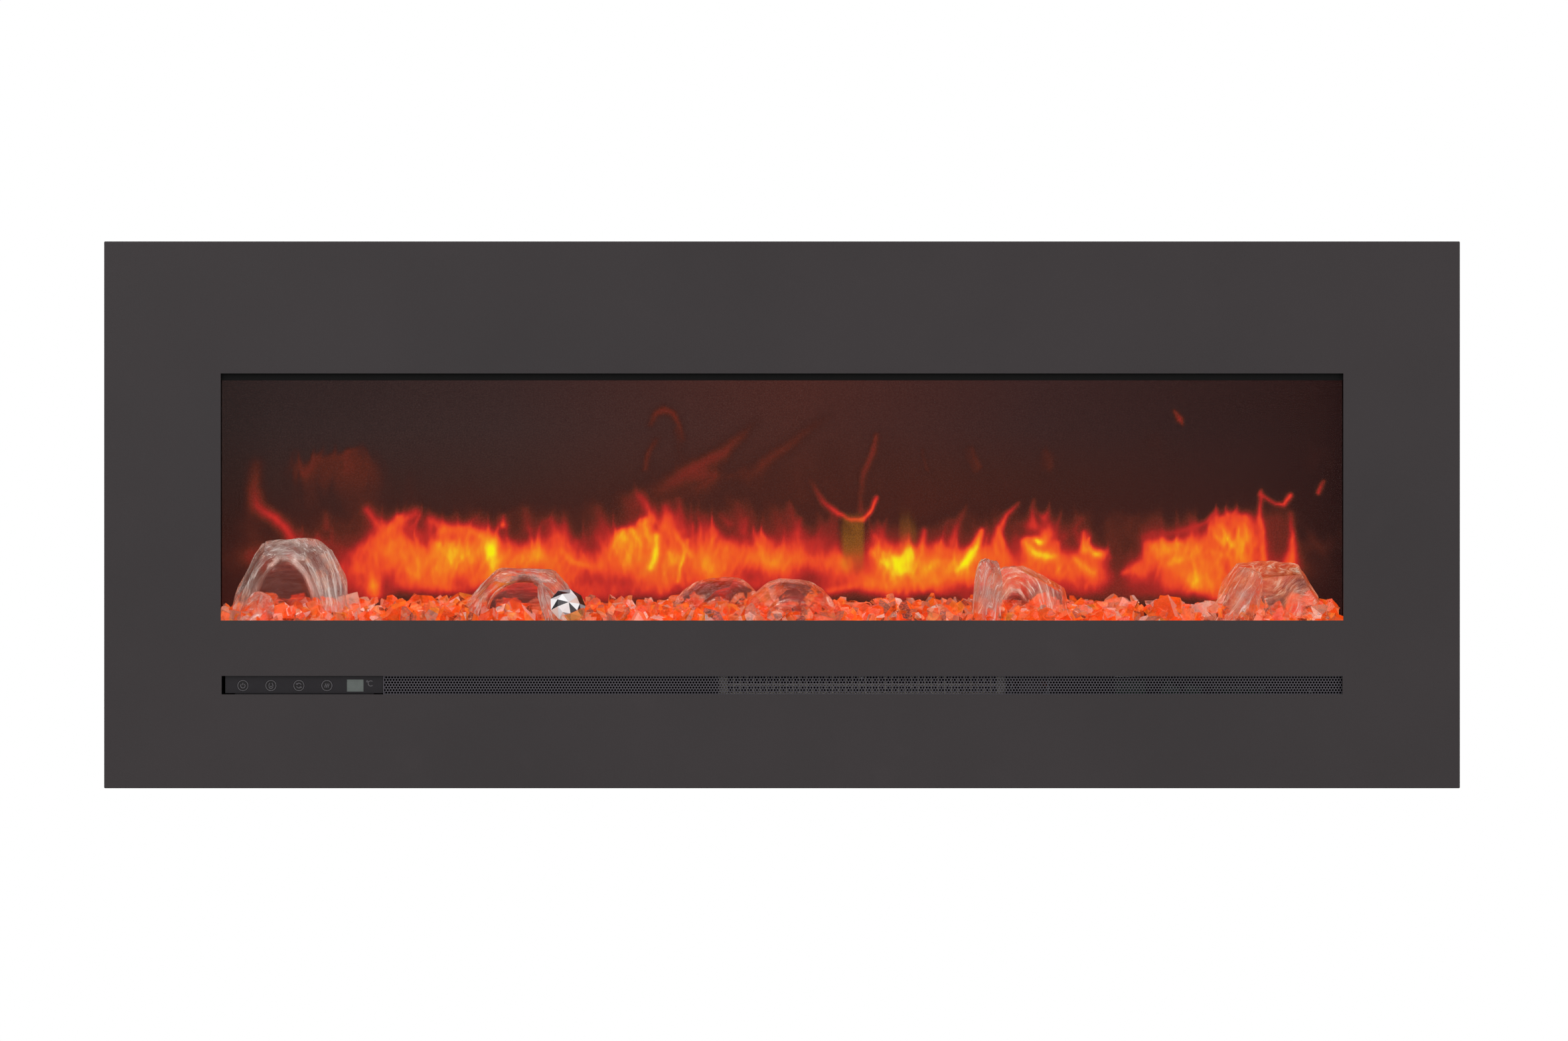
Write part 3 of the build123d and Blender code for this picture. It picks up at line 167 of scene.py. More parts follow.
class Graph:
    """A material's node tree, with the few moves that the finishes make in it."""

    def __init__(self, name: str) -> None:
        """Starts an empty material.

        Args:
            name: the material's name.
        """
        self.material = bpy.data.materials.new(name)
        self.material.use_nodes = True
        self.tree = self.material.node_tree
        self.tree.nodes.clear()

    def node(self, kind: str, settings: dict | None = None, values: dict | None = None,
             out: int | str = 0) -> Signal:
        """Adds a node: its settings first, then the values or links of its sockets.

        Args:
            kind: the node's type.
            settings: the node's own settings; "stops" fills a colour ramp.
            values: a value or a signal for each named or numbered input.
            out: the output wanted.

        Returns:
            That output as a signal.
        """
        made = self.tree.nodes.new(kind)
        for key, value in (settings or {}).items():
            if key == "stops":
                self._fill_ramp(made.color_ramp, value)
            else:
                setattr(made, key, value)
        for key, value in (values or {}).items():
            if isinstance(value, Signal):
                self.tree.links.new(value.socket, made.inputs[key])
            else:
                made.inputs[key].default_value = value
        return Signal(self, made.outputs[out])

    @staticmethod
    def _fill_ramp(ramp: bpy.types.ColorRamp, stops: list[tuple[float, tuple]]) -> None:
        """Gives a colour ramp its stops.

        Args:
            ramp: the ramp, which starts with two stops.
            stops: a place from 0 to 1 and a linear colour for each stop.
        """
        for place, _ in stops[2:]:
            ramp.elements.new(place)
        for element, (place, colour) in zip(ramp.elements, stops):
            element.position = place
            element.color = colour

    def place(self, stretch: Colour = (1.0, 1.0, 1.0), turn: Colour = (0.0, 0.0, 0.0)) -> Signal:
        """Gives object coordinates, stretched and turned by a Mapping node."""
        coords = self.node("ShaderNodeTexCoord", out="Object")
        return self.node("ShaderNodeMapping", None, {0: coords, 2: turn, 3: stretch})

    def noise(self, place: Signal, size: float, detail: float = 3.0, rough: float = 0.55) -> Signal:
        """Gives cloudy noise whose lumps are about one size, in metres."""
        values = {"Vector": place, "Scale": 1.0 / size, "Detail": detail, "Roughness": rough}
        return self.node("ShaderNodeTexNoise", None, values)

    def cells(self, place: Signal, size: float, feature: str = "F1", out: str = "Distance") -> Signal:
        """Gives a cell pattern whose cells are about one size, in metres."""
        values = {"Vector": place, "Scale": 1.0 / size}
        return self.node("ShaderNodeTexVoronoi", {"feature": feature}, values, out)

    def bands(self, place: Signal, pitch: float, axis: str, wander: float = 0.0) -> Signal:
        """Gives parallel bands at a pitch in metres along X, Y or Z."""
        settings = {"wave_type": "BANDS", "bands_direction": axis}
        values = {"Vector": place, "Scale": math.pi / 10.0 / pitch, "Distortion": wander, "Detail": 2.0}
        return self.node("ShaderNodeTexWave", settings, values, "Fac")

    def mix(self, factor: "Signal | Number", first: "Signal | tuple", second: "Signal | tuple",
            blend: str = "MIX") -> Signal:
        """Mixes two colours by a factor."""
        settings = {"data_type": "RGBA", "blend_type": blend}
        return self.node("ShaderNodeMix", settings, {0: factor, 6: first, 7: second}, 2)

    def ramp(self, factor: Signal, stops: list[tuple[float, tuple]]) -> Signal:
        """Turns a signal into colours."""
        return self.node("ShaderNodeValToRGB", {"stops": stops}, {0: factor})

    def attribute(self, name: str, out: str = "Color") -> Signal:
        """Reads an attribute of the piece's mesh."""
        return self.node("ShaderNodeAttribute", {"attribute_name": name}, None, out)

    def channels(self, colour: Signal) -> tuple[Signal, Signal, Signal]:
        """Splits a colour into its three parts."""
        split = self.node("ShaderNodeSeparateColor", None, {0: colour})
        outputs = split.socket.node.outputs
        return split, Signal(self, outputs[1]), Signal(self, outputs[2])

    def bump(self, height: Signal, depth: float, under: Signal | None = None) -> Signal:
        """Raises the surface by a height signal, to a depth in metres, over another bump if any."""
        values = {"Strength": 1.0, "Distance": depth, "Height": height}
        if under is not None:
            values["Normal"] = under
        return self.node("ShaderNodeBump", None, values)

    def surface(self, values: dict) -> Signal:
        """Adds the Principled shader with its values or links."""
        return self.node("ShaderNodeBsdfPrincipled", None, values)

    def close(self, shader: Signal) -> bpy.types.Material:
        """Joins a shader to the material's output and gives the finished material."""
        output = self.tree.nodes.new("ShaderNodeOutputMaterial")
        self.tree.links.new(shader.socket, output.inputs["Surface"])
        return self.material


class Finish:
    """A way of finishing a surface, which builds its own material."""

    blended = False

    def build(self, name: str) -> bpy.types.Material:
        """Builds the material under a name.

        Args:
            name: the material's name.

        Returns:
            The finished material.
        """
        graph = Graph(name)
        material = graph.close(self.shader(graph))
        if self.blended:
            material.surface_render_method = "BLENDED"
        return material

    def shader(self, graph: Graph) -> Signal:
        """Adds the finish's nodes and gives its shader."""
        raise NotImplementedError


@dataclass(frozen=True)
class PowderCoat(Finish):
    """Baked powder paint: fine orange peel over steel, with faint clouds of shade and handling dust."""

    colour: tuple
    roughness: float = 0.5
    peel: float = 1.4 * MM
    depth: float = 0.05 * MM
    cloud: float = 0.22
    sheen: float = 0.4

    def shader(self, graph: Graph) -> Signal:
        """Builds the paint."""
        place = graph.place()
        cloud = graph.noise(place, self.cloud, 4.0)
        peel = graph.noise(place, self.peel, 2.0, 0.5)
        fleck = graph.noise(place, self.peel / 3.0, 1.0)
        amount = cloud * 0.45 + peel * 0.35 + fleck * 0.2
        paint = graph.mix(amount.step(0.36, 0.64), shade(self.colour, 0.90), shade(self.colour, 1.12))
        dust = graph.noise(place, 0.07, 5.0, 0.7).step(0.56, 0.80)
        paint = graph.mix(dust * 0.10, paint, shade(self.colour, 2.2))
        rough = self.roughness + 0.10 * (cloud - 0.5) + 0.10 * (fleck - 0.5) + 0.10 * dust
        normal = graph.bump(peel * 0.75 + fleck * 0.25, self.depth)
        return graph.surface({"Base Color": paint, "Roughness": rough, "Normal": normal,
                              "Specular IOR Level": self.sheen})


@dataclass(frozen=True)
class ZincSheet(Finish):
    """Galvanised sheet: crystals of zinc with a dull bloom and rolling lines."""

    light: tuple = tone(196, 199, 203)
    dark: tuple = tone(150, 154, 160)
    spangle: float = 11.0 * MM

    def shader(self, graph: Graph) -> Signal:
        """Builds the zinc."""
        place = graph.place()
        warp = graph.node("ShaderNodeVectorMath", {"operation": "ADD"}, {
            0: place, 1: graph.node("ShaderNodeVectorMath", {"operation": "SCALE"}, {
                0: graph.node("ShaderNodeTexNoise", None, {"Vector": place, "Scale": 90.0}, "Color"),
                "Scale": 0.006})})
        grains = graph.channels(graph.cells(warp, self.spangle, "F1", "Color"))[0]
        lines = graph.noise(graph.place((1.0, 40.0, 40.0)), 0.05, 3.0)
        bloom = graph.noise(place, 0.09, 5.0, 0.65)
        zinc = graph.mix(grains * 0.6 + lines * 0.4, self.dark, self.light)
        zinc = graph.mix(bloom.step(0.52, 0.72) * 0.35, zinc, tone(206, 206, 202))
        rough = 0.30 + 0.16 * grains + 0.22 * bloom.step(0.45, 0.75)
        normal = graph.bump(lines, 0.03 * MM, graph.bump(grains, 0.02 * MM))
        return graph.surface({"Base Color": zinc, "Metallic": 0.92, "Roughness": rough,
                              "Normal": normal})


@dataclass(frozen=True)
class WorkedMetal(Finish):
    """Bare or plated metal with a drawn grain, smears and small scratches."""

    colour: tuple
    roughness: float = 0.28
    grain: Colour = (1.0, 30.0, 30.0)
    metallic: float = 1.0

    def shader(self, graph: Graph) -> Signal:
        """Builds the metal."""
        place = graph.place()
        drawn = graph.noise(graph.place(self.grain), 12.0 * MM, 4.0, 0.6)
        smear = graph.noise(place, 35.0 * MM, 4.0, 0.6)
        crossed = graph.place((3.0, 60.0, 8.0), (0.4, 0.2, 0.7))
        scratch = graph.noise(crossed, 40.0 * MM, 2.0).step(0.66, 0.72)
        metal = graph.mix(drawn * 0.7 + smear * 0.3, shade(self.colour, 0.80), shade(self.colour, 1.12))
        metal = graph.mix(scratch * 0.4, metal, shade(self.colour, 1.35))
        rough = self.roughness + 0.16 * (smear - 0.5) + 0.10 * (drawn - 0.5) + 0.12 * scratch
        normal = graph.bump(drawn + 0.3 * scratch, 0.025 * MM)
        values = {"Base Color": metal, "Metallic": self.metallic, "Roughness": rough, "Normal": normal}
        return graph.surface(values)


@dataclass(frozen=True)
class MouldedPlastic(Finish):
    """Moulded plastic: a spark-eroded grain, faint flow marks and patches worn smooth by rubbing, lightened
    in colour as a painted sheen.
    """

    colour: tuple
    roughness: float = 0.45
    grain: float = 0.45 * MM
    depth: float = 0.03 * MM
    rubbed_wear_and_sheen: float = 0.12

    def shader(self, graph: Graph) -> Signal:
        """Builds the plastic."""
        place = graph.place()
        grain = graph.cells(place, self.grain, "SMOOTH_F1")
        flow = graph.noise(graph.place((1.0, 3.0, 5.0)), 40.0 * MM, 4.0, 0.6)
        rub_wear_and_sheen = graph.noise(place, 9.0 * MM, 3.0, 0.6).step(0.48, 0.70)
        body = graph.mix(flow * 0.6 + grain * 0.4, shade(self.colour, 0.86), shade(self.colour, 1.16))
        # worn patches: real wear that lowers roughness; their lighter colour is a painted sheen
        body = graph.mix(rub_wear_and_sheen * self.rubbed_wear_and_sheen, body, shade(self.colour, 1.8))
        rough = self.roughness + 0.12 * (flow - 0.5) - 0.10 * rub_wear_and_sheen
        normal = graph.bump(grain, self.depth)
        values = {"Base Color": body, "Roughness": rough, "Normal": normal, "Specular IOR Level": 0.3}
        return graph.surface(values)


@dataclass(frozen=True)
class SoftRubber(Finish):
    """Matt rubber with bloom, talc in its pores and a soft skin."""

    colour: tuple = tone(34, 34, 35)

    def shader(self, graph: Graph) -> Signal:
        """Builds the rubber."""
        place = graph.place()
        skin = graph.noise(place, 1.1 * MM, 4.0, 0.65)
        bloom = graph.noise(place, 14.0 * MM, 5.0, 0.7).step(0.50, 0.76)
        body = graph.mix(skin, shade(self.colour, 0.8), shade(self.colour, 1.4))
        body = graph.mix(bloom * 0.35, body, tone(88, 87, 85))
        normal = graph.bump(skin, 0.08 * MM)
        rough = 0.78 + 0.14 * bloom - 0.06 * skin
        return graph.surface({"Base Color": body, "Roughness": rough, "Normal": normal})


@dataclass(frozen=True)
class PrintedBoard(Finish):
    """A circuit board: green mask over tracks laid square, with tinned pads and small dark parts."""

    mask: tuple = tone(24, 84, 52)
    track: tuple = tone(46, 122, 74)
    track_pitch: float = 3.2 * MM

    def shader(self, graph: Graph) -> Signal:
        """Builds the board."""
        place = graph.place()
        square = {"feature": "F1", "distance": "MANHATTAN"}
        values = {"Vector": place, "Scale": 1.0 / self.track_pitch, "Randomness": 0.45}
        paths = graph.node("ShaderNodeTexVoronoi", square, values, "Distance")
        tracks = paths.step(0.42, 0.46) * (1.0 - paths.step(0.56, 0.60))
        pads = 1.0 - graph.cells(place, 4.6 * MM).step(0.10, 0.13)
        weave = graph.bands(place, 0.6 * MM, "X") * 0.5 + graph.bands(place, 0.6 * MM, "Z") * 0.5
        parts = 1.0 - graph.cells(graph.place((1.0, 1.0, 0.6)), 8.5 * MM).step(0.20, 0.24)
        face = graph.mix(weave * 0.3, self.mask, shade(self.mask, 0.7))
        face = graph.mix(tracks, face, self.track)
        face = graph.mix(parts * 0.85, face, tone(26, 26, 28))
        face = graph.mix(pads, face, tone(190, 188, 180))
        normal = graph.bump(tracks * 0.4 + pads + parts, 0.12 * MM, graph.bump(weave, 0.01 * MM))
        return graph.surface({"Base Color": face, "Metallic": pads * 0.9,
                              "Roughness": 0.36 - 0.08 * pads, "Normal": normal})


@dataclass(frozen=True)
class Laminated(Finish):
    """A stack of thin iron sheets seen on edge, varnished."""

    colour: tuple = tone(112, 108, 106)
    gauge: float = 0.65 * MM

    def shader(self, graph: Graph) -> Signal:
        """Builds the stack."""
        place = graph.place()
        sheets = graph.bands(place, self.gauge, "X", 0.15)
        varnish = graph.noise(place, 8.0 * MM, 4.0, 0.6)
        rust = graph.noise(place, 3.0 * MM, 5.0, 0.7).step(0.62, 0.78)
        iron = graph.mix(sheets * 0.6 + varnish * 0.4, shade(self.colour, 0.5), shade(self.colour, 1.2))
        iron = graph.mix(rust * 0.5, iron, tone(104, 62, 40))
        rough = 0.40 + 0.25 * rust + 0.12 * varnish
        normal = graph.bump(sheets, 0.12 * MM)
        return graph.surface({"Base Color": iron, "Metallic": 0.85 - 0.5 * rust, "Roughness": rough,
                              "Normal": normal})


@dataclass(frozen=True)
class WoundWire(Finish):
    """Enamelled copper wound in close turns, with spots of varnish; painted shade in the grooves between
    turns and painted highlights on their crowns.
    """

    colour: tuple = tone(176, 92, 42)
    turn: float = 0.42 * MM

    def shader(self, graph: Graph) -> Signal:
        """Builds the winding."""
        place = graph.place()
        turns = graph.bands(place, self.turn, "X", 0.35)
        drip = graph.noise(place, 4.0 * MM, 4.0, 0.6)
        # painted shade between the turns and painted highlights on them
        copper = graph.mix(turns * 0.8 + drip * 0.2, shade(self.colour, 0.4), shade(self.colour, 1.3))
        rough = 0.24 + 0.20 * drip
        normal = graph.bump(turns, 0.18 * MM)
        values = {"Base Color": copper, "Metallic": 0.75, "Roughness": rough, "Normal": normal}
        return graph.surface(values)


@dataclass(frozen=True)
class FiredCeramic(Finish):
    """Fired ceramic, cream and porous, scorched in patches by the heat."""

    colour: tuple = tone(222, 214, 198)

    def shader(self, graph: Graph) -> Signal:
        """Builds the ceramic."""
        place = graph.place()
        pores = graph.cells(place, 0.8 * MM).step(0.05, 0.35)
        scorch = graph.noise(place, 26.0 * MM, 5.0, 0.65).step(0.50, 0.74)
        fins = graph.bands(place, 2.4 * MM, "X")
        body = graph.mix(pores, shade(self.colour, 0.7), self.colour)
        body = graph.mix(scorch * 0.45, body, tone(150, 116, 84))
        body = graph.mix(fins.step(0.70, 0.85) * 0.5, body, tone(150, 150, 152))
        normal = graph.bump(pores * 0.3 + fins, 0.15 * MM)
        rough = 0.72 - 0.15 * fins
        return graph.surface({"Base Color": body, "Roughness": rough, "Normal": normal})


@dataclass(frozen=True)
class LeadSleeve(Finish):
    """Braided sleeve over wires: fine crossed strands with dusty tops, painted shade between the strands and
    painted highlights on them.
    """

    colour: tuple = tone(52, 50, 52)

    def shader(self, graph: Graph) -> Signal:
        """Builds the sleeve."""
        first = graph.bands(graph.place((1.0, 1.0, 1.0), (0.6, 0.5, 0.8)), 0.9 * MM, "X", 0.4)
        second = graph.bands(graph.place((1.0, 1.0, 1.0), (-0.6, -0.5, -0.8)), 0.9 * MM, "X", 0.4)
        braid = first * second
        dust = graph.noise(graph.place(), 12.0 * MM, 4.0, 0.6).step(0.5, 0.8)
        # painted shade between the strands and painted highlights on them
        body = graph.mix(braid, shade(self.colour, 0.55), shade(self.colour, 1.5))
        body = graph.mix(dust * 0.3, body, tone(120, 116, 110))
        normal = graph.bump(braid, 0.16 * MM)
        rough = 0.62 + 0.2 * dust
        return graph.surface({"Base Color": body, "Roughness": rough, "Normal": normal})


@dataclass(frozen=True)
class ClearPane(Finish):
    """Thin clear toughened glass with a trace of wipe marks."""

    alpha: float = 0.02
    blended = True

    def shader(self, graph: Graph) -> Signal:
        """Builds the glass."""
        wipe = graph.noise(graph.place((1.0, 1.0, 4.0), (0.0, 0.5, 0.0)), 0.16, 5.0, 0.6)
        specks = 1.0 - graph.cells(graph.place(), 14.0 * MM).step(0.02, 0.035)
        alpha = self.alpha + 0.025 * wipe.step(0.5, 0.8) + 0.05 * specks
        rough = 0.02 + 0.10 * wipe.step(0.45, 0.75)
        values = {"Base Color": tone(14, 17, 16), "Roughness": rough, "Alpha": alpha, "IOR": 1.5}
        return graph.surface(values)


@dataclass(frozen=True)
class CutGlass(Finish):
    """Broken clear glass lit from below; each facet carries painted light in the mesh's "facet" colour
    (orange light from the tray, pale painted reflections, dark painted shade), and the glass glows with that
    painted light.
    """

    clearness: float = 0.80
    # how strongly the glass glows with painted light
    glow: float = 0.20
    ripple: float = 2.6 * MM
    warm: bool = True

    def shader(self, graph: Graph) -> Signal:
        """Builds the glass."""
        place = graph.place()
        # painted light of each facet, written by the crystal bed
        facet = graph.attribute("facet")
        ripple = graph.noise(graph.place((1.0, 1.0, 2.4), (0.5, 0.8, 0.3)), self.ripple, 4.0, 0.62)
        veins = graph.noise(place, self.ripple * 2.2, 5.0, 0.7)
        # spark: mask of the painted glints
        spark = veins.step(0.60, 0.70)
        # mask of the painted shade
        painted_shade_mask = 1.0 - veins.step(0.30, 0.42)
        facet_painted_light = facet
        if self.warm:
            # pale painted glints where the veins are strong
            facet_painted_light = graph.mix(spark * 0.45, facet_painted_light, tone(255, 222, 196))
            # dark painted shade where the veins are weak
            facet_painted_light = graph.mix(painted_shade_mask * 0.55, facet_painted_light, tone(128, 52, 30))
            # painted orange light along the ripples
            facet_painted_light = graph.mix(ripple.step(0.46, 0.62) * 0.40, facet_painted_light, tone(250, 120, 48))
        normal = graph.bump(ripple, 0.35 * MM)
        # the painted light is both the base colour and the emission, so the glass glows with it
        values = {"Base Color": facet_painted_light, "Roughness": 0.04 + 0.14 * ripple.step(0.4, 0.7), "Normal": normal,
                  "Transmission Weight": self.clearness, "IOR": 1.5,
                  "Emission Color": facet_painted_light, "Emission Strength": self.glow}
        return graph.surface(values)


@dataclass(frozen=True)
class BoulderGlass(Finish):
    """A large broken lump of clear glass: milky conchoidal streaks in the rim, clear where it is thin.

    The mesh's "rim" colour holds how thick the glass is, how warm the painted light in it is and how much
    painted shade darkens it; "flow" runs along the streaks. The ramps hold painted highlights and painted
    orange light, and the glass glows with painted light.
    """

    streak: float = 8.0 * MM
    # the milky glass glows with painted light at this strength
    milk_glow: float = 0.18
    # the top stops of both ramps are pale painted highlights
    cool_stops: tuple = ((0.34, (84, 60, 56)), (0.44, (150, 128, 120)), (0.52, (186, 166, 156)),
                         (0.58, (214, 198, 190)), (0.66, (255, 253, 250)))
    # the warm ramp is painted orange light from the tray
    warm_stops: tuple = ((0.34, (196, 62, 26)), (0.44, (238, 104, 42)), (0.52, (242, 140, 92)),
                         (0.58, (244, 184, 150)), (0.66, (255, 236, 214)))

    def shader(self, graph: Graph) -> Signal:
        """Builds the glass."""
        # the rim colour's third part is painted shade
        rim, warmth, painted_shade = graph.channels(graph.attribute("rim"))
        flow = graph.attribute("flow", "Vector")
        along = graph.node("ShaderNodeMapping", None, {0: flow, 3: (0.22, 1.0, 0.5)})
        streaks = graph.noise(along, self.streak, 4.0, 0.6)
        fine = graph.noise(along, self.streak / 5.0, 3.0, 0.6)
        cloud = graph.noise(graph.place(), 15.0 * MM, 4.0, 0.6)
        level = graph.noise(graph.place((0.10, 1.0, 1.0)), 3.2 * MM, 4.0, 0.6)
        lines = streaks * 0.7 + fine * 0.3
        cool = graph.ramp(lines, [(place, tone(*colour)) for place, colour in self.cool_stops])
        warm = graph.ramp(lines, [(place, tone(*colour)) for place, colour in self.warm_stops])
        body = graph.mix((warmth + 1.1 * (cloud - 0.5)).step(0.25, 0.75), cool, warm)
        # painted shade: dark brown patches in the body
        body = graph.mix(painted_shade * (1.0 - fine.step(0.40, 0.52)) * 0.7, body, tone(52, 26, 22))
        milky = graph.surface({"Base Color": body, "Roughness": 0.10, "Normal": graph.bump(lines, 1.0 * MM),
                               "IOR": 1.5, "Transmission Weight": 0.45, "Emission Color": body,
                               "Emission Strength": self.milk_glow})
        # painted warm light seen through the clear glass, in horizontal layers
        layers = graph.mix(level.step(0.35, 0.65), tone(186, 112, 92), tone(246, 206, 184))
        thin = graph.mix(rim.step(0.25, 0.7), layers, tone(250, 236, 228))
        ripples = graph.bump(streaks * 0.8 + level * 0.2, 1.6 * MM)
        # the clear glass glows with a faint painted orange light
        clear = graph.surface({"Base Color": thin, "Roughness": 0.02, "IOR": 1.42,
                               "Transmission Weight": 1.0, "Normal": ripples,
                               "Emission Color": tone(150, 52, 26), "Emission Strength": 0.10})
        cover = (rim * 0.62 + 1.3 * (lines - 0.5) + 0.5 * (cloud - 0.5)).step(0.34, 0.72)
        return graph.node("ShaderNodeMixShader", None, {0: cover * 0.82, 1: clear, 2: milky})


@dataclass(frozen=True)
class FlameSheet(Finish):
    """The translucent screen of the flames; the mesh carries their heat and the dim ground."""

    stops: tuple = (
        (0.00, (40, 22, 17)), (0.12, (62, 26, 19)), (0.22, (92, 35, 22)), (0.32, (126, 38, 27)),
        (0.42, (168, 38, 33)), (0.50, (205, 46, 38)), (0.58, (233, 67, 38)), (0.66, (242, 90, 34)),
        (0.74, (245, 114, 32)), (0.82, (247, 148, 28)), (0.90, (249, 192, 30)), (1.00, (252, 236, 14)))

    def shader(self, graph: Graph) -> Signal:
        """Builds the screen."""
        place = graph.place()
        heat, olive, _ = graph.channels(graph.attribute("blaze"))
        ground = graph.attribute("ground")
        lick = graph.noise(graph.place((1.0, 1.0, 0.34)), 4.2 * MM, 4.0, 0.6)
        lively = heat.step(0.30, 0.60)
        stirred = heat + 0.16 * (lick - 0.5) * lively
        fire = graph.ramp(stirred, [(where, tone(*colour)) for where, colour in self.stops])
        fire = graph.mix(olive * 0.55, fire, tone(170, 108, 24))
        picture = graph.mix(heat.step(0.0, 0.26), ground, fire)
        mesh = graph.cells(place, 1.5 * MM).step(0.10, 0.75)
        grit = graph.noise(place, 1.1 * MM, 2.0, 0.7)
        dim = 1.0 - heat.step(0.25, 0.6)
        picture = graph.mix(dim * grit.step(0.35, 0.75) * 0.34, picture, tone(92, 62, 56))
        picture = graph.mix(dim * (1.0 - mesh) * 0.35, picture, tone(14, 9, 9))
        return graph.surface({"Base Color": tone(7, 5, 5), "Roughness": 0.7 + 0.2 * grit,
                              "Normal": graph.bump(grit, 0.02 * MM), "Specular IOR Level": 0.04,
                              "Emission Color": picture, "Emission Strength": 1.0})


@dataclass(frozen=True)
class EmberTray(Finish):
    """The lit diffuser under the crystals: orange light in pools over the lamps."""

    glow_strength: float = 0.55
    stops: tuple = ((0.32, (150, 40, 14)), (0.46, (232, 84, 26)), (0.58, (246, 128, 40)),
                    (0.72, (252, 186, 70)))

    def shader(self, graph: Graph) -> Signal:
        """Builds the tray."""
        place = graph.place()
        pools = graph.noise(place, 34.0 * MM, 4.0, 0.6)
        frost = graph.noise(place, 1.2 * MM, 2.0)
        stops = [(where, tone(*colour)) for where, colour in self.stops]
        glow = graph.ramp(pools * 0.85 + frost * 0.15, stops)
        return graph.surface({"Base Color": tone(226, 120, 60), "Roughness": 0.5 + 0.2 * frost,
                              "Normal": graph.bump(frost, 0.05 * MM),
                              "Emission Color": glow, "Emission Strength": self.glow_strength})


@dataclass(frozen=True)
class DisplayGlass(Finish):
    """An unlit numeric display behind a tinted lens: a grey-green field with a fine grid of cells."""

    field: tuple = tone(92, 98, 95)

    def shader(self, graph: Graph) -> Signal:
        """Builds the display."""
        place = graph.place()
        grid = graph.bands(place, 0.5 * MM, "X") * graph.bands(place, 0.5 * MM, "Z")
        cloud = graph.noise(place, 7.0 * MM, 3.0)
        face = graph.mix(cloud.step(0.3, 0.7), shade(self.field, 0.95), shade(self.field, 1.06))
        face = graph.mix(grid * 0.22, face, shade(self.field, 0.6))
        return graph.surface({"Base Color": face, "Roughness": 0.20 + 0.10 * cloud,
                              "Normal": graph.bump(grid, 0.01 * MM)})


@dataclass(frozen=True)
class PrintedMark(Finish):
    """Pale grey pad-printed ink, a little worn."""

    ink: tuple = tone(98, 94, 99)

    def shader(self, graph: Graph) -> Signal:
        """Builds the ink."""
        wear = graph.noise(graph.place(), 0.9 * MM, 3.0, 0.65)
        face = graph.mix(wear.step(0.35, 0.65), shade(self.ink, 0.62), self.ink)
        return graph.surface({"Base Color": face, "Roughness": 0.45 + 0.2 * wear,
                              "Normal": graph.bump(wear, 0.01 * MM)})


@dataclass(frozen=True)
class PaleFloor(Finish):
    """A plain pale studio floor with a barely seen trowelled texture."""

    colour: tuple = tone(226, 226, 224)

    def shader(self, graph: Graph) -> Signal:
        """Builds the floor."""
        place = graph.place()
        trowel = graph.noise(place, 0.6, 5.0, 0.6)
        sand = graph.noise(place, 4.0 * MM, 2.0)
        face = graph.mix(trowel, shade(self.colour, 0.96), self.colour)
        return graph.surface({"Base Color": face, "Roughness": 0.75 + 0.1 * trowel,
                              "Normal": graph.bump(sand, 0.1 * MM)})


FINISHES: dict[Slot, Finish] = {
    Slot.SURROUND_COAT: PowderCoat(tone(42, 36, 38), 0.50),
    Slot.CASING_COAT: PowderCoat(tone(24, 24, 25), 0.46, 0.9 * MM, 0.06 * MM),
    Slot.ZINC_STEEL: ZincSheet(),
    Slot.BRIGHT_STEEL: WorkedMetal(tone(205, 205, 203), 0.24),
    Slot.VANE_ALUMINIUM: WorkedMetal(tone(214, 215, 217), 0.18, (30.0, 30.0, 1.0)),
    Slot.BLACK_STEEL: PowderCoat(tone(9, 9, 9), 0.60, 1.1 * MM, 0.05 * MM, sheen=0.12),
    Slot.PANE_GLASS: ClearPane(),
    Slot.CRYSTAL_GLASS: CutGlass(),
    Slot.SCREEN_PLASTIC: FlameSheet(),
    Slot.TRAY_PLASTIC: EmberTray(),
    Slot.GRILLE_STEEL: PowderCoat(tone(70, 66, 73), 0.45, 0.7 * MM, 0.03 * MM),
    Slot.FASCIA_PLASTIC: MouldedPlastic(tone(25, 21, 26), 0.42),
    Slot.KEY_PLASTIC: MouldedPlastic(tone(19, 16, 18), 0.38, 0.35 * MM),
    Slot.DISPLAY_PLASTIC: DisplayGlass(),
    Slot.CIRCUIT_BOARD: PrintedBoard(),
    Slot.BLACK_NYLON: MouldedPlastic(tone(27, 27, 28), 0.50, 0.6 * MM, 0.04 * MM),
    Slot.SOFT_RUBBER: SoftRubber(),
    Slot.MOTOR_IRON: Laminated(),
    Slot.COIL_WIRE: WoundWire(),
    Slot.ELEMENT_CERAMIC: FiredCeramic(),
    Slot.LEAD_SLEEVE: LeadSleeve(),
}


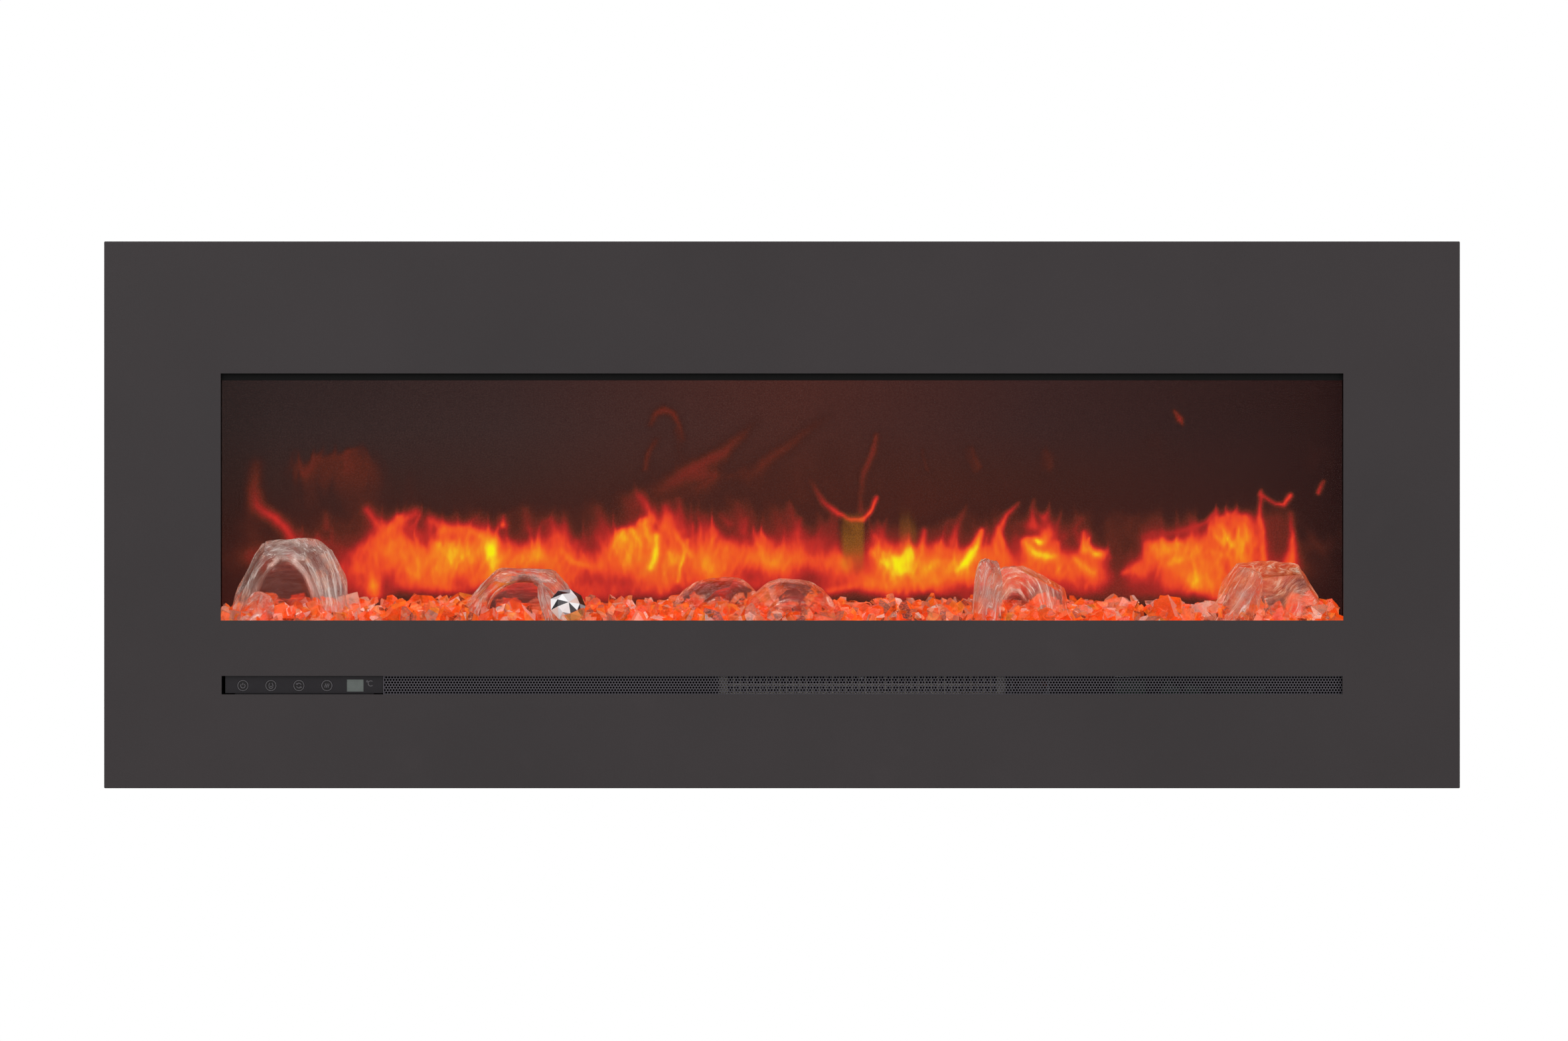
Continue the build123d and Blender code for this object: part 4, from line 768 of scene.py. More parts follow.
@dataclass
class Palette:
    """The fire's finishes, each built once."""

    made: dict[str, bpy.types.Material] = field(default_factory=dict)

    def of(self, slot: Slot) -> bpy.types.Material:
        """Gives the material of one of the record's slots."""
        return self.special(slot.value, FINISHES[slot])

    def special(self, name: str, finish: Finish) -> bpy.types.Material:
        """Gives a material of another finish, under its own name."""
        if name not in self.made:
            self.made[name] = finish.build(name)
        return self.made[name]

    def dress(self, nodes: list[str]) -> None:
        """Puts each frame node's own finish on it.

        Args:
            nodes: the names of the frame nodes.
        """
        slots = {part["node"]: part["material_slot"] for part in frame["record"]["subparts"]}
        for node in nodes:
            holder = frame["nodes"][node]
            for place in holder.material_slots:
                place.material = self.of(Slot(slots[node]))
            LOG.info("dressed %s in %s", node, slots[node])

    def piece(self, name: str, mesh: bmesh.types.BMesh | bpy.types.Mesh, body: str, slot: Slot,
              material: bpy.types.Material | None = None, smooth: bool = False) -> bpy.types.Object:
        """Makes a finished piece that rides on a body.

        Args:
            name: the piece's name.
            mesh: its shape, in place.
            body: the body that it moves with.
            slot: the record's slot that its finish belongs to.
            material: its material, where it isn't the slot's own.
            smooth: whether its faces are shaded smooth.

        Returns:
            The new object.
        """
        data = mesh
        if isinstance(mesh, bmesh.types.BMesh):
            data = bpy.data.meshes.new(name)
            mesh.to_mesh(data)
            mesh.free()
        data.name = name
        data.materials.clear()
        data.materials.append(material or self.of(slot))
        data.polygons.foreach_set("use_smooth", [smooth] * len(data.polygons))
        made = bpy.data.objects.new(name, data)
        bpy.context.scene.collection.objects.link(made)
        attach(made, body)
        LOG.info("made %s: %d faces, rides %s", name, len(data.polygons), body)
        return made


def paint(data: bpy.types.Mesh, name: str, domain: str, colours: np.ndarray) -> None:
    """Writes a colour on every point, corner or face of a mesh.

    Args:
        data: the mesh.
        name: the attribute's name.
        domain: POINT or FACE.
        colours: one row of red, green and blue for each element.
    """
    full = np.ones((len(colours), 4), np.float32)
    full[:, :3] = colours
    layer = data.attributes.new(name, "FLOAT_COLOR", domain)
    layer.data.foreach_set("color", full.ravel())


@dataclass
class Studio:
    """A plain pale floor, soft lights and the camera in front of the fire."""

    distance: float = 6.0
    lens: float = 132.2
    side: float = 2.07 * MM
    drop: float = 5.9 * MM
    floor_level: float = -1.3
    floor_radius: float = 6.4
    white: float = 1.0
    fill: float = 0.60
    lamps: tuple = (("key", (-2.4, -4.2, 2.6), 3.4, 85.0), ("side", (3.6, -3.4, 0.9), 3.0, 45.0),
                    ("top", (0.0, -0.6, 3.2), 3.6, 50.0), ("rear", (0.6, 4.0, 1.8), 3.4, 80.0))

    def build(self, palette: Palette) -> None:
        """Builds the studio.

        Args:
            palette: the finishes.
        """
        low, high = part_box("front_surround")
        self._camera(Vector((self.side, low.y - self.distance, (low.z + high.z) / 2 - self.drop)))
        self._floor(palette)
        self._air()
        middle = (low + high) / 2
        for name, place, size, power in self.lamps:
            self._light(name, Vector(place), middle, size, power)
        bpy.context.scene.view_settings.view_transform = "Standard"

    def _camera(self, place: Vector) -> None:
        """Sets the camera, level and square to the fire."""
        data = bpy.data.cameras.new("camera")
        data.lens = self.lens
        data.sensor_width = 36.0
        data.clip_end = 60.0
        camera = bpy.data.objects.new("camera", data)
        camera.location = place
        camera.rotation_euler = (math.pi / 2, 0.0, 0.0)
        bpy.context.scene.collection.objects.link(camera)
        bpy.context.scene.camera = camera

    def _floor(self, palette: Palette) -> None:
        """Lays the floor."""
        bm = bmesh.new()
        bmesh.ops.create_circle(bm, segments=96, radius=self.floor_radius, cap_ends=True)
        bmesh.ops.translate(bm, verts=bm.verts, vec=(0.0, 0.0, self.floor_level))
        data = bpy.data.meshes.new("studio_floor")
        bm.to_mesh(data)
        bm.free()
        data.materials.append(palette.special("studio_floor", PaleFloor()))
        floor = bpy.data.objects.new("studio_floor", data)
        bpy.context.scene.collection.objects.link(floor)

    def _air(self) -> None:
        """Makes the surroundings white to look at, and softer as a light."""
        world = bpy.data.worlds.new("studio_air")
        world.use_nodes = True
        tree = world.node_tree
        tree.nodes.clear()
        seen, light = [tree.nodes.new("ShaderNodeBackground") for _ in range(2)]
        for air, strength in ((seen, self.white), (light, self.fill)):
            air.inputs["Color"].default_value = (1.0, 1.0, 1.0, 1.0)
            air.inputs["Strength"].default_value = strength
        ray = tree.nodes.new("ShaderNodeLightPath")
        blend = tree.nodes.new("ShaderNodeMixShader")
        output = tree.nodes.new("ShaderNodeOutputWorld")
        tree.links.new(ray.outputs["Is Camera Ray"], blend.inputs[0])
        tree.links.new(light.outputs[0], blend.inputs[1])
        tree.links.new(seen.outputs[0], blend.inputs[2])
        tree.links.new(blend.outputs[0], output.inputs["Surface"])
        bpy.context.scene.world = world

    @staticmethod
    def _light(name: str, place: Vector, aim: Vector, size: float, power: float) -> None:
        """Hangs one large soft light.

        Args:
            name: the light's name.
            place: where it hangs.
            aim: what it points at.
            size: the side of its square, in metres.
            power: its power in watts.
        """
        data = bpy.data.lights.new(name, "AREA")
        data.shape = "SQUARE"
        data.size = size
        data.energy = power
        lamp = bpy.data.objects.new(name, data)
        lamp.location = place
        lamp.rotation_euler = (aim - place).to_track_quat("-Z", "Y").to_euler()
        bpy.context.scene.collection.objects.link(lamp)


@dataclass
class ValueNoise:
    """Smooth seeded noise over a plane, between -1 and 1."""

    seed: int = SEED

    def field(self, across: np.ndarray, up: np.ndarray, cell_across: float, cell_up: float,
              salt: int) -> np.ndarray:
        """Gives the noise at each point.

        Args:
            across: the points' first coordinates.
            up: their second coordinates.
            cell_across: the size of a lump across.
            cell_up: the size of a lump upwards.
            salt: a number that makes this field differ from the others.

        Returns:
            The noise, shaped as the coordinates are.
        """
        x = across / cell_across - math.floor(across.min() / cell_across)
        y = up / cell_up - math.floor(up.min() / cell_up)
        draws = np.random.default_rng(self.seed + salt)
        grid = draws.uniform(-1.0, 1.0, (int(y.max()) + 2, int(x.max()) + 2))
        column, row = np.floor(x).astype(int), np.floor(y).astype(int)
        fx, fy = x - column, y - row
        fx, fy = fx * fx * (3 - 2 * fx), fy * fy * (3 - 2 * fy)
        low = grid[row, column] * (1 - fx) + grid[row, column + 1] * fx
        high = grid[row + 1, column] * (1 - fx) + grid[row + 1, column + 1] * fx
        return low * (1 - fy) + high * fy


@dataclass
class FlamePainting:
    """Paints the heat of the flames over the window, in millimetres from its lower left corner."""

    noise: ValueNoise = field(default_factory=ValueNoise)
    swirl: tuple = ((46.0, 52.0, 5.0), (17.0, 24.0, 2.8), (6.0, 9.0, 1.3))
    feather: float = 1.5

    def heat(self, u: np.ndarray, v: np.ndarray) -> np.ndarray:
        """Paints the heat, from 0 where the screen is dark to 1 in the yellow cores.

        Args:
            u: how far each point is from the window's left side.
            v: how far it is above the window's bottom.

        Returns:
            The heat of each point.
        """
        wu, wv = u.copy(), v.copy()
        for salt, (wide, tall, reach) in enumerate(self.swirl):
            wu += reach * self.noise.field(u, v, wide, tall, 2 * salt + 1)
            wv += reach * self.noise.field(u, v, wide, tall, 2 * salt + 2)
        licks = 1.0 - np.abs(self.noise.field(wu, v, 11.0, 70.0, 20))
        lift = np.clip((v - 45.0) / 60.0, 0.0, 1.0)
        wv_licks = wv - 15.0 * (licks ** 3 - 0.42) * lift
        heat = self._smoke(wu, v)
        for cu, cv, ru, rv, hot, cover in SOFT_PATCHES:
            away = np.sqrt(((wu - cu) / ru) ** 2 + ((wv_licks - cv) / rv) ** 2)
            mask = cover * np.exp(-away ** 1.9)
            heat = heat * (1 - mask) + hot * mask
        near_u, near_v = u + 0.55 * (wu - u), v + 0.55 * (wv - v)
        for cover, points in TONGUES:
            heat = self._tongue(heat, near_u, near_v, points, cover)
        return heat + self._filaments(wu, v, heat)

    def _smoke(self, u: np.ndarray, v: np.ndarray) -> np.ndarray:
        """Gives the dim red veils that stand over the flames."""
        veil = 0.5 * self.noise.field(u, v, 38.0, 110.0, 31) + 0.3 * self.noise.field(u, v, 15.0, 60.0, 32)
        curls = 1.0 - 2.0 * np.abs(self.noise.field(u + 0.5 * v, v, 26.0, 70.0, 33))
        height = np.exp(-((v - 80.0) / 56.0) ** 2)
        return np.clip(0.09 + 0.16 * veil + 0.06 * curls, 0.0, 0.3) * height

    def _tongue(self, heat: np.ndarray, u: np.ndarray, v: np.ndarray, points: tuple,
                cover: float) -> np.ndarray:
        """Paints one tongue along its line, sharp in the middle and feathered at its sides.

        Args:
            heat: the heat so far.
            u: the points' places across.
            v: the points' places upwards.
            points: place across, place upwards, width and heat at each bend.
            cover: how far the tongue hides what is under it.

        Returns:
            The heat with the tongue on it.
        """
        best, hot = np.zeros_like(heat), np.zeros_like(heat)
        for (u0, v0, w0, h0), (u1, v1, w1, h1) in zip(points, points[1:]):
            du, dv = u1 - u0, v1 - v0
            part = np.clip(((u - u0) * du + (v - v0) * dv) / (du * du + dv * dv), 0.0, 1.0)
            width = self.feather * (w0 + part * (w1 - w0))
            away = np.hypot(u - u0 - part * du, v - v0 - part * dv) / width
            mask = 0.7 * np.exp(-away ** 2) + 0.3 * np.exp(-away)
            hot = np.where(mask > best, h0 + part * (h1 - h0), hot)
            best = np.maximum(best, mask)
        mask = cover * best
        return heat * (1 - mask) + hot * mask

    def _filaments(self, u: np.ndarray, v: np.ndarray, heat: np.ndarray) -> np.ndarray:
        """Gives the bright threads and dark folds inside the flames."""
        ridge = 1.0 - 2.0 * np.abs(self.noise.field(u + 0.35 * v, v, 10.0, 30.0, 41))
        other = 1.0 - 2.0 * np.abs(self.noise.field(u - 0.45 * v, v, 8.0, 26.0, 42))
        broad = self.noise.field(u, v, 22.0, 30.0, 43)
        small = self.noise.field(u, v, 4.5, 11.0, 44)
        lively = np.clip((heat - 0.34) / 0.3, 0.0, 1.0)
        return lively * (0.035 * ridge + 0.035 * other + 0.045 * broad + 0.02 * small)

    def olive(self, u: np.ndarray, v: np.ndarray) -> np.ndarray:
        """Gives the two upright bands where the flame turns olive."""
        total = np.zeros_like(u)
        for left, right, low, high, amount in OLIVE_BANDS:
            across = np.clip((u - left) / 5.0 + 0.5, 0.0, 1.0) * np.clip((right - u) / 1.6 + 0.5, 0.0, 1.0)
            up = np.clip((v - low) / 26.0 + 0.5, 0.0, 1.0) * np.clip((high - v) / 16.0 + 0.5, 0.0, 1.0)
            total += amount * across * up
        return np.clip(total, 0.0, 1.0)

    def ground(self, u: np.ndarray, v: np.ndarray) -> np.ndarray:
        """Gives the dim brown and grey of the screen behind the flames, darkened towards the window's ends
        by painted shade.

        Args:
            u: how far each point is from the window's left side.
            v: how far it is above the window's bottom.

        Returns:
            A linear colour for each point.
        """
        table = np.array([[tone(*colour)[:3] for colour in row] for row in GROUND_TONES])
        levels = [np.stack([np.interp(u, GROUND_ACROSS, row[:, part]) for part in range(3)], -1)
                  for row in table]
        place = np.interp(v, GROUND_UP, range(len(GROUND_UP)))
        below = np.minimum(place.astype(int), len(GROUND_UP) - 2)
        share = (place - below)[..., None]
        stack = np.stack(levels)
        rows = np.arange(u.size)
        flat = stack.reshape(len(GROUND_UP), -1, 3)
        lower = flat[below.ravel(), rows].reshape(*u.shape, 3)
        upper = flat[below.ravel() + 1, rows].reshape(*u.shape, 3)
        return lower * (1 - share) + upper * share


# The window's lower left corner, by the surround's borders beside it and below it.
SURROUND_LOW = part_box("front_surround")[0]
WINDOW_LEFT = SURROUND_LOW.x + 121.5 * MM
WINDOW_BOTTOM = SURROUND_LOW.z + 174.9 * MM

# Patches of flame: place across, place up, half width, half height (mm), heat, cover. Painted in order.
SOFT_PATCHES = (
    (92, 158, 25, 14, 0.31, 0.95), (129, 162, 21, 13, 0.29, 0.9), (147, 149, 24, 20, 0.25, 0.9),
    (94, 133, 21, 25, 0.19, 0.8), (145, 127, 29, 24, 0.18, 0.8), (115, 149, 19, 16, 0.22, 0.8),
    (195, 141, 11, 24, 0.15, 0.7), (261, 143, 11, 13, 0.12, 0.7), (126, 101, 69, 16, 0.22, 0.6),
    (31, 69, 16, 13, 0.4, 0.8), (7, 80, 16, 32, 0.16, 0.6), (65, 64, 32, 16, 0.36, 0.7),
    (100, 82, 29, 10, 0.42, 0.8), (323, 106, 40, 16, 0.2, 0.7), (429, 127, 15, 15, 0.33, 0.8),
    (387, 117, 16, 13, 0.22, 0.6), (496, 141, 32, 16, 0.22, 0.7), (541, 111, 32, 16, 0.3, 0.7),
    (594, 109, 19, 16, 0.33, 0.7), (567, 146, 32, 13, 0.18, 0.7), (636, 170, 16, 24, 0.17, 0.7),
    (695, 165, 16, 32, 0.13, 0.6), (695, 96, 32, 11, 0.36, 0.7), (753, 96, 32, 16, 0.33, 0.7),
    (469, 154, 16, 16, 0.17, 0.6), (865, 165, 11, 11, 0.18, 0.8), (884, 186, 16, 32, 0.08, 0.6),
    (969, 186, 16, 16, 0.11, 0.7), (878, 101, 32, 16, 0.3, 0.7), (942, 96, 32, 16, 0.24, 0.7),
    (1001, 101, 42, 13, 0.28, 0.7), (1099, 96, 19, 24, 0.3, 0.8), (1144, 170, 19, 13, 0.12, 0.7),
    (1139, 77, 27, 13, 0.22, 0.8), (926, 143, 16, 16, 0.1, 0.6), (1099, 48, 21, 24, 0.34, 0.8),
    (1133, 53, 24, 19, 0.16, 0.8), (163, 37, 64, 16, 0.47, 0.95), (256, 40, 69, 16, 0.5, 0.95),
    (362, 37, 64, 19, 0.52, 0.95), (421, 37, 69, 16, 0.5, 0.95), (530, 40, 80, 16, 0.58, 0.95),
    (615, 40, 24, 16, 0.42, 0.9), (708, 37, 74, 16, 0.65, 0.95), (794, 42, 64, 19, 0.62, 0.95),
    (889, 42, 53, 19, 0.45, 0.95), (985, 40, 53, 19, 0.52, 0.95), (1046, 35, 45, 16, 0.62, 0.95),
    (142, 58, 35, 20, 0.65, 0.95), (169, 72, 29, 20, 0.7, 0.95), (190, 80, 24, 19, 0.68, 0.95),
    (206, 58, 32, 21, 0.71, 0.95), (232, 64, 29, 27, 0.75, 0.95), (254, 72, 32, 23, 0.78, 0.95),
    (275, 69, 24, 24, 0.76, 0.95), (293, 56, 21, 19, 0.7, 0.95), (317, 64, 27, 21, 0.69, 0.95),
    (346, 66, 27, 23, 0.72, 0.95), (373, 58, 24, 21, 0.72, 0.95), (352, 85, 13, 13, 0.6, 0.85),
    (386, 53, 16, 24, 0.64, 0.9), (267, 45, 19, 11, 0.62, 0.8), (230, 40, 24, 11, 0.62, 0.8),
    (392, 56, 21, 24, 0.64, 0.9), (416, 69, 24, 27, 0.74, 0.95), (432, 74, 21, 25, 0.8, 0.95),
    (442, 58, 24, 24, 0.74, 0.95), (464, 96, 16, 20, 0.65, 0.95), (469, 66, 21, 24, 0.72, 0.95),
    (501, 69, 24, 23, 0.7, 0.95), (525, 69, 27, 21, 0.7, 0.95), (554, 69, 29, 20, 0.69, 0.95),
    (580, 69, 27, 21, 0.71, 0.95), (604, 66, 21, 19, 0.67, 0.95), (626, 66, 19, 20, 0.64, 0.9),
    (514, 56, 19, 11, 0.77, 0.9), (573, 61, 21, 10, 0.77, 0.9), (511, 89, 9, 8, 0.64, 0.8),
    (567, 86, 12, 8, 0.62, 0.8), (622, 80, 16, 11, 0.5, 0.8), (647, 58, 16, 13, 0.7, 0.9),
    (687, 69, 24, 16, 0.71, 0.95), (692, 82, 24, 9, 0.5, 0.8), (700, 56, 24, 19, 0.85, 0.95),
    (740, 58, 24, 19, 0.75, 0.95), (764, 58, 24, 19, 0.78, 0.95), (753, 74, 16, 13, 0.65, 0.85),
    (734, 40, 24, 11, 0.69, 0.8), (673, 45, 24, 12, 0.69, 0.85), (794, 64, 21, 19, 0.69, 0.9),
    (815, 64, 19, 24, 0.62, 0.9), (841, 58, 21, 19, 0.62, 0.9), (860, 93, 11, 13, 0.65, 0.95),
    (857, 72, 24, 16, 0.64, 0.9), (878, 58, 21, 20, 0.68, 0.9), (900, 61, 19, 19, 0.71, 0.95),
    (910, 77, 11, 9, 0.72, 0.95), (916, 56, 13, 13, 0.6, 0.85), (958, 56, 19, 15, 0.62, 0.9),
    (979, 72, 21, 17, 0.72, 0.95), (1003, 69, 24, 20, 0.74, 0.95), (1027, 74, 24, 23, 0.71, 0.95),
    (1051, 85, 21, 20, 0.74, 0.95), (1072, 85, 15, 21, 0.68, 0.95), (1059, 64, 29, 19, 0.72, 0.95),
    (1032, 53, 29, 16, 0.7, 0.95), (1009, 50, 24, 11, 0.68, 0.9), (1019, 35, 20, 12, 0.78, 0.95),
    (1046, 101, 16, 8, 0.6, 0.85), (1070, 104, 13, 8, 0.62, 0.85), (199, 94, 11, 10, 0.44, 0.8),
    (212, 92, 9, 9, 0.46, 0.7), (175, 37, 8, 13, 0.38, 0.85), (137, 31, 16, 8, 0.38, 0.7),
    (147, 44, 8, 8, 0.47, 0.6), (246, 38, 11, 7, 0.45, 0.7), (387, 82, 11, 16, 0.34, 0.8),
    (387, 40, 16, 11, 0.42, 0.7), (551, 44, 13, 10, 0.42, 0.85), (611, 44, 13, 11, 0.38, 0.9),
    (413, 37, 19, 8, 0.42, 0.7), (496, 106, 11, 11, 0.3, 0.8), (488, 85, 7, 13, 0.48, 0.5),
    (636, 93, 11, 16, 0.35, 0.85), (780, 32, 16, 8, 0.4, 0.7), (786, 27, 21, 8, 0.42, 0.7),
    (880, 96, 7, 8, 0.4, 0.8), (934, 66, 12, 24, 0.26, 0.9), (934, 35, 16, 11, 0.33, 0.9),
    (963, 37, 16, 9, 0.38, 0.8), (1099, 82, 9, 24, 0.28, 0.9), (865, 40, 19, 8, 0.42, 0.8),
    (831, 82, 7, 16, 0.42, 0.8), (732, 74, 8, 13, 0.5, 0.5), (284, 74, 7, 11, 1, 1),
    (223, 84, 4, 5, 0.88, 0.9), (248, 73, 16, 9, 0.82, 0.7), (161, 41, 5, 6, 0.79, 0.9),
    (331, 68, 8, 11, 0.79, 0.7), (421, 89, 7, 8, 0.9, 0.8), (434, 93, 12, 7, 0.86, 0.7),
    (421, 61, 7, 13, 0.84, 0.6), (708, 63, 15, 12, 1, 1), (716, 70, 8, 13, 0.97, 0.9),
    (711, 50, 13, 7, 0.96, 0.9), (692, 61, 7, 5, 0.95, 0.8), (851, 87, 7, 5, 1, 1),
    (908, 79, 7, 4, 0.86, 0.9), (985, 76, 8, 7, 0.82, 0.8), (998, 61, 13, 5, 0.82, 0.8),
    (1052, 82, 15, 5, 0.88, 0.8), (1064, 74, 7, 11, 0.82, 0.7), (1043, 68, 16, 3, 0.82, 0.6),
    (1019, 40, 5, 13, 0.82, 0.8),
)
